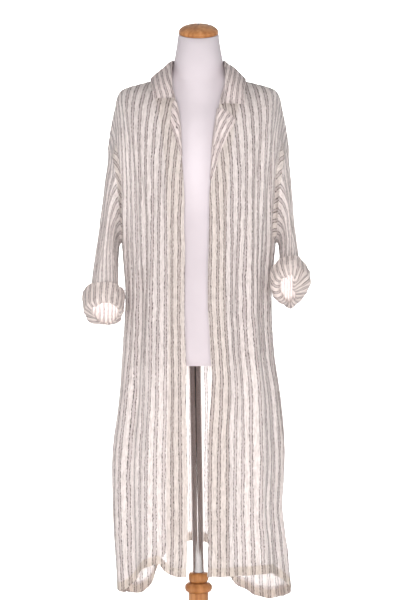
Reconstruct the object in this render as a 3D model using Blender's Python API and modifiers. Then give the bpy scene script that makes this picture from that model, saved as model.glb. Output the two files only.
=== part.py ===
"""Open striped duster coat on a limbless dress form, in metres, +Z up, front towards -Y.

The origin is on the floor under the middle of the stand. Left and right are as seen from the front,
so left is -X.
"""
import math
from collections import namedtuple

import bpy
from mathutils import Vector

# Cloth
CLOTH = 0.0013          # wall of one layer of cloth
DOUBLED = 0.0020        # wall of a lapel, collar or turn-up
SEAM = 0.0003           # gap between pieces that meet at a seam
SETBACK = 0.0004        # what each wall gives up where two round a seam
UNDERARM = 1.020        # height where the side seams meet the armholes

# Body of the coat below the underarm: how far it reaches at each height
Section = namedtuple("Section", "height left right front back")
BODY = [
    Section(0.190, 0.180, 0.214, 0.163, 0.157),
    Section(0.270, 0.184, 0.204, 0.160, 0.154),
    Section(0.350, 0.190, 0.197, 0.157, 0.151),
    Section(0.430, 0.194, 0.189, 0.154, 0.147),
    Section(0.550, 0.194, 0.195, 0.148, 0.141),
    Section(0.660, 0.180, 0.187, 0.142, 0.136),
    Section(0.770, 0.172, 0.171, 0.136, 0.132),
    Section(0.900, 0.165, 0.165, 0.129, 0.125),
    Section(1.020, 0.172, 0.174, 0.122, 0.106),
]
BODY_SQUARENESS = 2.3   # 2 is an ellipse, more is squarer

# Front edges, from the hem up to the underarm
Edge = namedtuple("Edge", "height left right")
FRONT_EDGE = [
    Edge(0.290, 0.0275, 0.0180),
    Edge(0.360, 0.0236, 0.0193),
    Edge(0.500, 0.0240, 0.0193),
    Edge(0.600, 0.0252, 0.0208),
    Edge(0.710, 0.0264, 0.0285),
    Edge(0.780, 0.0284, 0.0250),
    Edge(0.890, 0.0310, 0.0207),
    Edge(1.020, 0.0302, 0.0228),
]

# Shoulder seam, from the neck over the tip and down the dropped shoulder
Shoulder = namedtuple("Shoulder", "share reach height")
SHOULDER = [
    Shoulder(0.00, 0.0740, 1.3920),
    Shoulder(0.25, 0.1310, 1.3775),
    Shoulder(0.42, 0.1700, 1.3652),
    Shoulder(0.50, 0.1822, 1.3510),
    Shoulder(0.62, 0.1895, 1.3200),
    Shoulder(0.80, 0.1985, 1.2760),
    Shoulder(1.00, 0.2050, 1.2300),
]
SHOULDER_Y = 0.004      # the shoulder seam lies a little behind the middle

# How each lengthwise line of a panel leaves the shoulder (out, drop and inward) and arrives at the
# underarm level (rise and back_off)
Drape = namedtuple("Drape", "share out drop inward rise back_off")
FRONT_DRAPE = [
    Drape(0.00, 0.092, 0.006, 0.021, 0.235, 0.006),
    Drape(0.35, 0.090, 0.000, 0.010, 0.215, 0.004),
    Drape(0.65, 0.086, 0.000, 0.018, 0.140, 0.012),
    Drape(0.85, 0.088, 0.000, 0.034, 0.080, 0.045),
    Drape(1.00, 0.088, 0.004, 0.024, 0.030, 0.080),
]
BACK_DRAPE = [
    Drape(0.00, 0.050, 0.016, 0.000, 0.190, 0.014),
    Drape(0.30, 0.072, 0.006, 0.000, 0.190, 0.014),
    Drape(0.60, 0.080, 0.008, 0.000, 0.160, 0.016),
    Drape(0.85, 0.086, 0.003, 0.000, 0.085, 0.045),
    Drape(1.00, 0.086, 0.004, 0.000, 0.030, 0.080),
]
NECK_SHARE = 0.27       # share of half the back's top edge that is neckline
NECKLINE_BACK = 0.066   # how far behind the shoulder seam the neckline reaches
NECKLINE_RISE = 0.004

# Hem heights, from each front edge to the side seam, and across half the back
Hem = namedtuple("Hem", "share height")
HEM_FRONT_LEFT = [
    Hem(0.00, 0.2970), Hem(0.10, 0.2985), Hem(0.18, 0.3065), Hem(0.245, 0.3235), Hem(0.30, 0.3190),
    Hem(0.37, 0.3125), Hem(0.50, 0.2855), Hem(0.62, 0.2580), Hem(0.80, 0.2480), Hem(1.00, 0.2400),
]
HEM_FRONT_RIGHT = [
    Hem(0.00, 0.299), Hem(0.30, 0.298), Hem(0.55, 0.298),
    Hem(0.68, 0.285), Hem(0.82, 0.255), Hem(1.00, 0.235),
]
HEM_BACK = [
    Hem(-1.00, 0.2400), Hem(-0.86, 0.2260), Hem(-0.72, 0.2200), Hem(-0.60, 0.2115), Hem(-0.52, 0.2110),
    Hem(-0.475, 0.2205), Hem(-0.43, 0.2350), Hem(-0.38, 0.2600), Hem(-0.30, 0.2930), Hem(-0.15, 0.3190),
    Hem(0.00, 0.3250), Hem(0.08, 0.3180), Hem(0.17, 0.2800), Hem(0.255, 0.2360), Hem(0.30, 0.2210),
    Hem(0.38, 0.2130), Hem(0.48, 0.2030), Hem(0.58, 0.1970), Hem(0.70, 0.2060), Hem(0.85, 0.2190),
    Hem(1.00, 0.2350),
]

# Largest folds: soft ridges (+) and troughs (-) that run down a panel between two heights
Fold = namedtuple("Fold", "share width depth low high lean")
FOLDS_FRONT_LEFT = [
    Fold(0.15, 0.050, -0.0050, 0.00, 0.90, 0.02),
    Fold(0.32, 0.065, 0.0065, 0.00, 0.85, 0.04),
    Fold(0.52, 0.055, -0.0110, 0.00, 0.55, 0.02),
    Fold(0.52, 0.050, -0.0050, 0.75, 1.50, 0.02),
    Fold(0.68, 0.060, 0.0075, 0.00, 0.55, 0.03),
    Fold(0.76, 0.050, 0.0050, 0.95, 1.60, 0.02),
    Fold(0.90, 0.065, -0.0110, 0.35, 1.45, -0.01),
]
FOLDS_FRONT_RIGHT = [
    Fold(0.13, 0.050, 0.0040, 0.00, 0.70, 0.02),
    Fold(0.29, 0.060, -0.0065, 0.00, 0.95, 0.04),
    Fold(0.48, 0.065, 0.0080, 0.00, 0.85, -0.03),
    Fold(0.66, 0.055, -0.0095, 0.00, 0.60, 0.02),
    Fold(0.64, 0.050, -0.0055, 0.85, 1.55, 0.03),
    Fold(0.82, 0.050, 0.0060, 0.00, 0.30, 0.02),
    Fold(0.90, 0.065, -0.0115, 0.40, 1.45, -0.01),
]
FOLDS_BACK = [
    Fold(-0.84, 0.050, -0.0090, 0.00, 1.15, 0.02),
    Fold(-0.66, 0.055, 0.0090, 0.00, 0.85, 0.03),
    Fold(-0.44, 0.050, -0.0115, 0.00, 1.00, -0.03),
    Fold(-0.22, 0.055, 0.0080, 0.00, 0.75, 0.02),
    Fold(0.02, 0.050, -0.0110, 0.00, 1.10, 0.02),
    Fold(0.26, 0.055, 0.0095, 0.00, 0.80, 0.03),
    Fold(0.47, 0.050, -0.0105, 0.00, 0.95, 0.02),
    Fold(0.67, 0.055, 0.0085, 0.00, 0.70, -0.02),
    Fold(0.86, 0.050, -0.0085, 0.00, 1.15, 0.02),
]

FOLD_EASE = 0.45        # how far past its range a fold dies out
FLAT_AT_SEAM = 0.06     # share of a panel beside its side seam where the folds flatten

# Facings and lapels
FACING_COLUMNS = 2      # width of a facing in columns of the front, about 45 mm
FACING_TOP = 1.85       # how far up the front the facing reaches, 2 is the shoulder seam
LAPEL_LIFT = 0.0022     # how far a lapel's roll stands off the front
LAPEL_START = 0.15      # share of the roll's arch that is already passed at the front's edge
LAPEL_FULL_WIDTH = 0.020  # narrower lapels lift less
Lapel = namedtuple("Lapel", "up width")
LAPEL_LEFT = [
    Lapel(1.300, 0.0030), Lapel(1.360, 0.0080), Lapel(1.420, 0.0165), Lapel(1.500, 0.0170),
    Lapel(1.600, 0.0070),
]
LAPEL_RIGHT = [
    Lapel(1.205, 0.0030), Lapel(1.250, 0.0095), Lapel(1.310, 0.0160), Lapel(1.345, 0.0230),
    Lapel(1.420, 0.0335), Lapel(1.490, 0.0430), Lapel(1.545, 0.0210),
]

# Collar, from the middle of the back (0) past the shoulder seam (1) to its front end (2):
# how far its seam stands off the panel, then its crest and outer edge
Collar = namedtuple("Collar", "at off crest_x crest_y crest_z edge_x edge_y edge_z")
COLLAR_BACK_AND_SIDE = [
    Collar(0.00, 0.0013, 0.0000, 0.0705, 1.4380, 0.000, 0.1080, 1.3900),
    Collar(0.45, 0.0013, 0.0320, 0.0600, 1.4370, 0.052, 0.0970, 1.3880),
    Collar(0.80, 0.0014, 0.0540, 0.0320, 1.4340, 0.092, 0.0570, 1.3890),
    Collar(1.02, 0.0015, 0.0605, -0.0020, 1.4290, 0.108, 0.0000, 1.3875),
    Collar(1.30, 0.0024, 0.0600, -0.0340, 1.4120, 0.106, -0.0450, 1.3740),
    Collar(1.60, 0.0028, 0.0580, -0.0690, 1.3820, 0.101, -0.0830, 1.3500),
]
COLLAR_END_LEFT = Collar(2.00, 0.0025, 0.0555, -0.0960, 1.3340, 0.0975, -0.1020, 1.3290)
COLLAR_END_RIGHT = Collar(2.00, 0.0025, 0.0560, -0.1010, 1.3220, 0.1010, -0.1070, 1.3150)
COLLAR_BULGE = 0.0040
COLLAR_ROLL = 0.0020    # radius of the collar's fold along its crest
COLLAR_FALL_ROWS = (0.35, 0.7, 1.0)
COLLAR_REACH = {-1: 0.375, 1: 0.425}  # how far down the front's edge the collar reaches

# Sleeves: the ring where each sleeve is rolled up, and how its cloth leaves the armhole
Ring = namedtuple("Ring", "x y z across depth slope")
SLEEVE_END = {
    -1: Ring(-0.2078, -0.083, 0.864, 0.0335, 0.0380, 0.024),
    1: Ring(0.2010, -0.092, 0.921, 0.0220, 0.0270, 0.032),
}
Leave = namedtuple("Leave", "turn out forward drop rise")
SLEEVE_LEAVE = [
    Leave(0, 0.006, 0.000, 0.110, 0.090),
    Leave(45, 0.014, 0.012, 0.075, 0.085),
    Leave(90, 0.032, 0.012, 0.035, 0.090),
    Leave(135, 0.024, 0.012, 0.006, 0.070),
    Leave(180, 0.014, 0.000, 0.000, 0.060),
]
ROLL_GAP = 0.0009       # setback where a sleeve runs into its roll
SLEEVE_GAP = 0.0014     # setback at the armhole, where the two walls meet at an angle
SLEEVE_FOLDS = [
    Fold(50, 18, -0.0060, 0.10, 0.60, 25),
    Fold(110, 20, 0.0045, 0.10, 0.50, -20),
    Fold(250, 18, -0.0060, 0.10, 0.60, -20),
    Fold(300, 20, 0.0045, 0.10, 0.60, 20),
]
SLEEVE_FOLD_EASE = 0.15

# Turn-ups: a fold round the sleeve's end, then a band back up outside the sleeve
ROLL_FULLNESS = 1.2     # the fold is this much longer than a half circle
BAND_ROWS = (0.35, 0.7, 1.0)
# The roll's radius, its height in front and behind, and how far its top stands off the sleeve
TurnUp = namedtuple("TurnUp", "roll height_front height_back flare")
TURN_UP = {
    -1: TurnUp(0.0055, 0.042, 0.062, 0.002),
    1: TurnUp(0.0090, 0.030, 0.036, 0.003),
}

# Thread belt loop on the right side seam
LOOP_HEIGHT = 0.818
LOOP_SPAN = 0.018
LOOP_REACH = 0.0062
LOOP_THREAD = 0.0016

# Dress form
FormSection = namedtuple("FormSection", "height reach front back squareness")
TORSO = [
    FormSection(0.746, 0.141, 0.086, 0.094, 2.15),
    FormSection(0.752, 0.146, 0.091, 0.099, 2.15),
    FormSection(0.800, 0.149, 0.095, 0.107, 2.15),
    FormSection(0.870, 0.146, 0.096, 0.108, 2.15),
    FormSection(0.940, 0.136, 0.091, 0.095, 2.15),
    FormSection(1.000, 0.126, 0.086, 0.082, 2.15),
    FormSection(1.050, 0.122, 0.085, 0.076, 2.15),
    FormSection(1.110, 0.130, 0.093, 0.077, 2.15),
    FormSection(1.160, 0.140, 0.102, 0.081, 2.15),
    FormSection(1.200, 0.146, 0.101, 0.085, 2.15),
    FormSection(1.250, 0.152, 0.089, 0.084, 2.15),
    FormSection(1.300, 0.162, 0.069, 0.073, 2.05),
    FormSection(1.335, 0.1670, 0.050, 0.053, 1.85),
]
SHOULDER_SEAT = 0.0020  # from the middle of the coat's wall down to the form's shoulder
SHOULDER_ROWS = [       # rows up the form's sloping shoulder, whose heights follow the shoulder seam
    FormSection(None, 0.160, 0.034, 0.035, 1.70),
    FormSection(None, 0.146, 0.035, 0.036, 1.58),
    FormSection(None, 0.131, 0.037, 0.037, 1.48),
    FormSection(None, 0.112, 0.038, 0.036, 1.36),
    FormSection(None, 0.092, 0.041, 0.037, 1.40),
]
NECK = [
    FormSection(1.3868, 0.0640, 0.0460, 0.0460, 1.75),
    FormSection(1.410, 0.0585, 0.0490, 0.0500, 2.00),
    FormSection(1.435, 0.0545, 0.0480, 0.0490, 2.05),
    FormSection(1.460, 0.0495, 0.0465, 0.0475, 2.05),
]
NECK_END = FormSection(None, 0.0455, 0.0405, 0.0410, 2.05)
Swell = namedtuple("Swell", "height depth")
SWELL = [               # extra depth at the middle, where the chest and the back run up into the neck
    Swell(1.300, 0.0000), Swell(1.335, 0.0010), Swell(1.3646, 0.0135), Swell(1.3710, 0.0120),
    Swell(1.3755, 0.0095), Swell(1.3800, 0.0085), Swell(1.3842, 0.0065), Swell(1.3868, 0.0010),
    Swell(1.4100, 0.0000),
]
SWELL_WIDTH = 0.055
NECK_TILT = math.radians(24)
NECK_TOP = 1.4905       # middle of the neck's sloping top
CAP_RADIUS = 0.0448
CAP_THICK = 0.0050
CAP_DOME = 0.0165
PLUG_RADIUS = 0.0035
PLUG_HEIGHT = 0.0020

# Stand
POLE_RADIUS = 0.0128
HUB_TOP = 0.279
HUB_BORE_DEPTH = 0.100
Turned = namedtuple("Turned", "height radius")
HUB = [
    Turned(0.279, 0.0165), Turned(0.2770, 0.0205), Turned(0.2680, 0.0232), Turned(0.2590, 0.0205),
    Turned(0.2565, 0.0190), Turned(0.2540, 0.0270), Turned(0.2450, 0.0310), Turned(0.2360, 0.0270),
    Turned(0.2335, 0.0225), Turned(0.1600, 0.0225), Turned(0.1050, 0.0250), Turned(0.0700, 0.0330),
    Turned(0.0480, 0.0460), Turned(0.0330, 0.0600), Turned(0.0303, 0.0600),
]
FOOT_RADIUS = 0.175
FOOT_THICK = 0.030
FOOT_EDGE = 0.008

# Mesh density
COLUMNS_FRONT = 11
COLUMNS_BACK = 23
ROWS_SKIRT = 13
ROWS_CHEST = 10
SLEEVE_TURNS = 20
SLEEVE_ROWS = 9
LAPEL_COLUMNS = 6
LAPEL_ROWS = 9
COLLAR_COLUMNS = 22
ROLL_STEPS = 4
FORM_TURNS = 32
QUARTER_STEPS = 28


def clear_scene():
    """Remove every object that the file starts with."""
    for thing in list(bpy.data.objects):
        bpy.data.objects.remove(thing, do_unlink=True)


def make_collection(name):
    """New collection under the scene's own."""
    group = bpy.data.collections.new(name)
    bpy.context.scene.collection.children.link(group)
    return group


def material(name, colour, roughness, metallic=0.0):
    """Principled material with one colour."""
    made = bpy.data.materials.new(name)
    made.use_nodes = True
    shader = made.node_tree.nodes["Principled BSDF"]
    shader.inputs["Base Color"].default_value = (*colour, 1.0)
    shader.inputs["Roughness"].default_value = roughness
    shader.inputs["Metallic"].default_value = metallic
    return made


def smooth(mesh):
    """Shade a mesh smooth, with its real edges kept sharp."""
    mesh.shade_smooth()
    mesh.set_sharp_from_angle(angle=math.radians(40))


def read(table, key, column):
    """Value of a column at a key of the table's first column, on a smooth curve through its rows."""
    keys = [row[0] for row in table]
    values = [getattr(row, column) for row in table]
    key = min(max(key, keys[0]), keys[-1])
    last = len(keys) - 2
    i = next((n for n in range(last + 1) if key <= keys[n + 1]), last)
    slopes = []
    for n in (i, i + 1):
        before = max(n - 1, 0)
        after = min(n + 1, last + 1)
        slopes.append((values[after] - values[before]) / (keys[after] - keys[before]))
    span = keys[i + 1] - keys[i]
    u = (key - keys[i]) / span
    rise = values[i + 1] - values[i]
    bend = (slopes[0] * span - rise) * (1 - u) + (rise - slopes[1] * span) * u
    return values[i] + rise * u + u * (1 - u) * bend


def along(points, share):
    """Point at a share of a polyline's length."""
    lengths = [0.0]
    for before, after in zip(points, points[1:]):
        lengths.append(lengths[-1] + (after - before).length)
    target = share * lengths[-1]
    for n in range(1, len(points)):
        if lengths[n] >= target or n == len(points) - 1:
            piece = lengths[n] - lengths[n - 1]
            return points[n - 1].lerp(points[n], (target - lengths[n - 1]) / piece)
    return points[-1]


def bezier(start, leave, arrive, end, t):
    """Point on a cubic curve."""
    u = 1 - t
    return start * u ** 3 + leave * (3 * u * u * t) + arrive * (3 * u * t * t) + end * t ** 3


def bump(distance, width):
    """Soft bell of height 1, whose foot is about twice its width away."""
    return math.exp(-(distance / width) ** 2)


def fade(value, low, high, edge):
    """1 between low and high, easing to 0 over an edge outside them."""
    outside = max(low - value, value - high, 0.0)
    return max(0.0, 1 - outside / edge) ** 2


# Coat body

def quarter(height, side, face, start):
    """A quarter of the body's outline at one height, from a distance off the middle to the side seam."""
    reach = read(BODY, height, "left" if side < 0 else "right")
    depth = read(BODY, height, face)
    power = 2 / BODY_SQUARENESS
    first = math.asin((start / reach) ** (1 / power))
    points = []
    for n in range(QUARTER_STEPS + 1):
        angle = first + (math.pi / 2 - first) * n / QUARTER_STEPS
        x = side * reach * math.sin(angle) ** power
        y = depth * max(math.cos(angle), 0.0) ** power
        points.append(Vector((x, -y if face == "front" else y, height)))
    return [point + Vector((0, SHOULDER_Y * n / QUARTER_STEPS, 0)) for n, point in enumerate(points)]


def shoulder_line(side, share):
    """Point on the shoulder seam, from the neck to the top of the armhole."""
    reach = read(SHOULDER, share, "reach")
    return Vector((side * reach, SHOULDER_Y, read(SHOULDER, share, "height")))


def fold_push(folds, share, up):
    """How far the folds move a point of a panel outwards. They end short of the side seams."""
    push = 0.0
    for fold in folds:
        middle = fold.share + fold.lean * up
        push += fold.depth * bump(share - middle, fold.width) * fade(up, fold.low, fold.high, FOLD_EASE)
    return push * min((1 - abs(share)) / FLAT_AT_SEAM, 1.0)


def drape(table, side, sign, share, top, low, up):
    """Point on a lengthwise line between the underarm level and the shoulder."""
    out = sign * read(table, share, "out")
    leave = Vector((-side * read(table, share, "inward"), out, -read(table, share, "drop")))
    arrive = Vector((0, sign * read(table, share, "back_off"), read(table, share, "rise")))
    return bezier(low, low + arrive, top + leave, top, up)


def front_base(side, share, up):
    """Front panel without its folds. up is 0 at the hem, 1 at the underarm and 2 at the shoulder seam."""
    name = "left" if side < 0 else "right"
    hem = read(HEM_FRONT_LEFT if side < 0 else HEM_FRONT_RIGHT, share, "height")
    height = hem + (UNDERARM - hem) * min(up, 1.0)
    low = along(quarter(height, side, "front", read(FRONT_EDGE, height, name)), share)
    if up <= 1:
        return low
    return drape(FRONT_DRAPE, side, -1, share, shoulder_line(side, share), low, up - 1)


def back_top(side, share):
    """Top edge of half the back: the neckline, then the shoulder seam."""
    if share >= NECK_SHARE:
        return shoulder_line(side, (share - NECK_SHARE) / (1 - NECK_SHARE))
    angle = share / NECK_SHARE * math.pi / 2
    neck = SHOULDER[0]
    across = side * neck.reach * math.sin(angle)
    behind = SHOULDER_Y + NECKLINE_BACK * math.cos(angle)
    return Vector((across, behind, neck.height + NECKLINE_RISE * math.cos(angle)))


def back_base(share, up):
    """Back panel without its folds. share runs from -1 at the left side seam to 1 at the right one."""
    side = -1 if share < 0 else 1
    hem = read(HEM_BACK, share, "height")
    height = hem + (UNDERARM - hem) * min(up, 1.0)
    low = along(quarter(height, side, "back", 0.0), abs(share))
    if up <= 1:
        return low
    return drape(BACK_DRAPE, side, 1, abs(share), back_top(side, abs(share)), low, up - 1)


def outward(base, share, up):
    """Unit vector that leaves a panel on its outer side."""
    step = 0.004
    if up > 1.98:
        up = 1.98
    across = base(share + step, up) - base(share - step, up)
    rise = base(share, up + step) - base(share, up - step)
    normal = across.cross(rise)
    normal.normalize()
    middle = Vector((0, 0, base(share, up).z))
    if normal.dot(base(share, up) - middle) < 0:
        normal.negate()
    return normal


def front_point(side, share, up, out=0.0):
    """Point on a front panel with its folds, moved outwards."""
    def base(s, u):
        return front_base(side, min(max(s, 0.0), 1.0), u)
    folds = FOLDS_FRONT_LEFT if side < 0 else FOLDS_FRONT_RIGHT
    return base(share, up) + outward(base, share, up) * (fold_push(folds, share, up) + out)


def back_point(share, up, out=0.0):
    """Point on the back with its folds, moved outwards."""
    def base(s, u):
        return back_base(min(max(s, -1.0), 1.0), u)
    return base(share, up) + outward(base, share, up) * (fold_push(FOLDS_BACK, share, up) + out)


def panel_rows():
    """Rows of a panel from the hem to the shoulder seam."""
    return [n / ROWS_SKIRT for n in range(ROWS_SKIRT)] + [1 + n / ROWS_CHEST for n in range(ROWS_CHEST + 1)]


def draw_in(edge, beside, distance):
    """Move an edge of a grid towards the points beside it, which opens the seam."""
    for point, inner in zip(edge, beside):
        point += (inner - point).normalized() * distance


def open_seams(grid, sides):
    """Draw in a panel's top edge and its side edges: 0 is the first column and -1 the last."""
    draw_in(grid[-1], grid[-2], SEAM / 2 + SETBACK)
    for side in sides:
        beside = 1 if side == 0 else -2
        draw_in([row[side] for row in grid], [row[beside] for row in grid], SEAM / 2 + SETBACK)


def width_at(side, up):
    """Length of a front panel's row."""
    points = [front_base(side, n / 12, up) for n in range(13)]
    return sum((b - a).length for a, b in zip(points, points[1:]))


# Meshes

def sheet(name, grid, thickness, finish, group, closed=False):
    """A cloth piece: a grid of points with a wall. closed joins each row's last point to its first."""
    wide = len(grid[0])
    vertices = [point for row in grid for point in row]
    faces = []
    for r in range(len(grid) - 1):
        for c in range(wide if closed else wide - 1):
            here = r * wide + c
            beside = r * wide + (c + 1) % wide
            faces.append((here, beside, beside + wide, here + wide))
    mesh = bpy.data.meshes.new(name)
    mesh.from_pydata([tuple(v) for v in vertices], [], faces)
    made = bpy.data.objects.new(name, mesh)
    group.objects.link(made)
    wall = made.modifiers.new("wall", "SOLIDIFY")
    wall.thickness = thickness
    wall.offset = 0.0
    mesh.materials.append(finish)
    smooth(mesh)
    return made


def loft(name, rings, finish, group):
    """A closed solid through rings of points, with a flat cap at each end."""
    wide = len(rings[0])
    vertices = [tuple(point) for ring in rings for point in ring]
    faces = [tuple(reversed(range(wide)))]
    for r in range(len(rings) - 1):
        for c in range(wide):
            here = r * wide + c
            beside = r * wide + (c + 1) % wide
            faces.append((here, beside, beside + wide, here + wide))
    last = (len(rings) - 1) * wide
    faces.append(tuple(range(last, last + wide)))
    mesh = bpy.data.meshes.new(name)
    mesh.from_pydata(vertices, [], faces)
    mesh.materials.append(finish)
    smooth(mesh)
    made = bpy.data.objects.new(name, mesh)
    group.objects.link(made)
    return made


def turned(name, profile, finish, group, steps):
    """A turned piece: its profile runs down the outer side from the axis back to the axis."""
    mesh = bpy.data.meshes.new(name)
    vertices = [(radius, 0.0, height) for radius, height in profile]
    edges = [(n, n + 1) for n in range(len(profile) - 1)]
    mesh.from_pydata(vertices, edges, [])
    mesh.materials.append(finish)
    made = bpy.data.objects.new(name, mesh)
    group.objects.link(made)
    screw = made.modifiers.new("turn", "SCREW")
    screw.steps = steps
    screw.render_steps = steps
    screw.use_merge_vertices = True
    screw.merge_threshold = 0.00005
    screw.use_smooth_shade = True
    return made


def coat_panels(cloth, group):
    """The back and the two fronts."""
    rows = panel_rows()
    for side, name in ((-1, "front_left"), (1, "front_right")):
        grid = [[front_point(side, n / (COLUMNS_FRONT - 1), up) for n in range(COLUMNS_FRONT)] for up in rows]
        open_seams(grid, [-1])
        sheet(name, grid if side > 0 else turned_over(grid), CLOTH, cloth, group)
    grid = [[back_point(1 - 2 * n / (COLUMNS_BACK - 1), up) for n in range(COLUMNS_BACK)] for up in rows]
    open_seams(grid, [0, -1])
    sheet("back", grid, CLOTH, cloth, group)


def turned_over(grid):
    """The same grid with its rows reversed, so that its outer side stays outside."""
    return [list(reversed(row)) for row in grid]


def facings(cloth, group):
    """The strips inside the front edges, under the front's own columns."""
    inside = -(CLOTH + SEAM)
    for side, name in ((-1, "facing_left"), (1, "facing_right")):
        grid = []
        for up in [row for row in panel_rows() if row < FACING_TOP]:
            grid.append([
                front_point(side, n / (COLUMNS_FRONT - 1), up, inside) for n in range(FACING_COLUMNS + 1)])
        draw_in(grid[0], grid[1], SEAM)
        sheet(name, grid if side > 0 else turned_over(grid), CLOTH, cloth, group)


def lapels(cloth, group):
    """The turned-out tops of the fronts, soft at the roll and flat on the front."""
    lies = CLOTH / 2 + SEAM + DOUBLED / 2
    for side, name, table in ((-1, "lapel_left", LAPEL_LEFT), (1, "lapel_right", LAPEL_RIGHT)):
        grid = []
        for r in range(LAPEL_ROWS):
            up = table[0].up + (table[-1].up - table[0].up) * r / (LAPEL_ROWS - 1)
            width = read(table, up, "width")
            length = width_at(side, up)
            row = []
            for c in range(LAPEL_COLUMNS):
                across = c / (LAPEL_COLUMNS - 1)
                distance = width * across
                round_over = math.sin(math.pi * min(across + LAPEL_START, 1.0))
                lift = LAPEL_LIFT * round_over * min(width / LAPEL_FULL_WIDTH, 1.0)
                row.append(front_point(side, distance / length, up, lies + lift))
            grid.append(row)
        sheet(name, grid if side > 0 else turned_over(grid), DOUBLED, cloth, group)


def neckline(side, at, off):
    """Point off the coat's neckline: 0 is the middle of the back, 1 the shoulder seam, 2 the collar's end."""
    if at <= 1:
        return back_point(side * at * NECK_SHARE, 2, off)
    return front_point(side, 0, 2 - (at - 1) * COLLAR_REACH[side], off)


def collar_section(row, side):
    """Points of the collar across one station: up the stand, over the crest and down the fall."""
    seam = neckline(side, row.at, row.off)
    crest = Vector((side * row.crest_x, row.crest_y, row.crest_z))
    edge = Vector((side * row.edge_x, row.edge_y, row.edge_z))
    away = edge - crest
    away.z = 0
    away.normalize()
    over = crest + away * COLLAR_ROLL * 2
    points = [seam, seam.lerp(crest, 0.5), crest - Vector((0, 0, COLLAR_ROLL))]
    points.append(crest + away * COLLAR_ROLL)
    points.append(over - Vector((0, 0, COLLAR_ROLL * 0.8)))
    fall = edge - over
    lift = away * 0.35 + Vector((0, 0, 1))
    bulge = COLLAR_BULGE * (1 - 0.35 * row.at)
    for share in COLLAR_FALL_ROWS:
        points.append(over + fall * share + lift * (bulge * math.sin(math.pi * share)))
    return points


def collar(cloth, group):
    """The collar, from its left end round the neck to its right end."""
    left = [COLLAR_END_LEFT, *reversed(COLLAR_BACK_AND_SIDE)]
    right = [*COLLAR_BACK_AND_SIDE[1:], COLLAR_END_RIGHT]
    stations = [collar_section(row, -1) for row in left] + [collar_section(row, 1) for row in right]
    grid = []
    for n in range(COLLAR_COLUMNS):
        place = n / (COLLAR_COLUMNS - 1) * (len(stations) - 1)
        i = min(int(place), len(stations) - 2)
        u = place - i
        row = []
        for c in range(len(stations[0])):
            before = stations[max(i - 1, 0)][c]
            start = stations[i][c]
            end = stations[i + 1][c]
            after = stations[min(i + 2, len(stations) - 1)][c]
            row.append(bezier(start, start + (end - before) / 6, end - (after - start) / 6, end, u))
        grid.append(row)
    sheet("collar", grid, DOUBLED, cloth, group)


def armhole_point(side, turn):
    """Point on the armhole's edge: 0 is its top, 90 the front, 180 the underarm and 270 the back."""
    turn = turn % 360
    if turn <= 180:
        return front_point(side, 1.0, 2 - turn / 180)
    return back_point(side * 1.0, 2 - (360 - turn) / 180)


def roll_axis(side):
    """Unit vector out of the sleeve's opening, forwards and down."""
    ring = SLEEVE_END[side]
    return Vector((0, -ring.slope, -ring.depth)).normalized()


def sleeve_end(side, turn, radial=0.0, axial=0.0):
    """Point on the ring where a sleeve is rolled up, moved out from the ring and along its axis."""
    ring = SLEEVE_END[side]
    angle = math.radians(turn)
    across = Vector((side * (ring.across + radial), 0, 0))
    grow = radial / math.hypot(ring.depth, ring.slope) + 1
    forward = Vector((0, -ring.depth, ring.slope)) * grow
    centre = Vector((ring.x, ring.y, ring.z))
    return centre + across * math.cos(angle) + forward * math.sin(angle) + roll_axis(side) * axial


def sleeve_point(side, turn, down):
    """Point on a sleeve. down is 0 at the armhole and 1 at the roll."""
    half = turn if turn <= 180 else 360 - turn
    sign = -1 if turn <= 180 else 1
    start = armhole_point(side, turn)
    leave = Vector((
        side * read(SLEEVE_LEAVE, half, "out"),
        sign * read(SLEEVE_LEAVE, half, "forward"),
        -read(SLEEVE_LEAVE, half, "drop")))
    start = start + (leave.normalized() + Vector((side, 0, 0))).normalized() * SLEEVE_GAP
    end = sleeve_end(side, turn)
    arrive = -roll_axis(side) * read(SLEEVE_LEAVE, half, "rise")
    return bezier(start, start + leave, end + arrive, end, down)


def sleeves(cloth, group):
    """The sleeves, from the armholes to where they are rolled up."""
    for side, name in ((-1, "sleeve_left"), (1, "sleeve_right")):
        grid = []
        for r in range(SLEEVE_ROWS):
            down = math.sin(math.pi / 2 * r / (SLEEVE_ROWS - 1))
            row = []
            for c in range(SLEEVE_TURNS):
                turn = c * 360 / SLEEVE_TURNS
                point = sleeve_point(side, turn, down)
                centre = sum((sleeve_point(side, t, down) for t in (0, 90, 180, 270)), Vector()) / 4
                push = 0.0
                for fold in SLEEVE_FOLDS:
                    apart = (turn - fold.share - fold.lean * down + 180) % 360 - 180
                    reach = fade(down, fold.low, fold.high, SLEEVE_FOLD_EASE)
                    push += fold.depth * bump(apart, fold.width) * reach
                row.append(point + (point - centre).normalized() * push)
            grid.append(row)
        sheet(name, grid if side < 0 else turned_over(grid), CLOTH, cloth, group, closed=True)


def turn_up_height(shape, turn):
    """Height of a turn-up at a turn round the sleeve: 90 is its front and 270 its back."""
    middle = (shape.height_front + shape.height_back) / 2
    return middle + (shape.height_front - shape.height_back) / 2 * math.sin(math.radians(turn))


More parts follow.
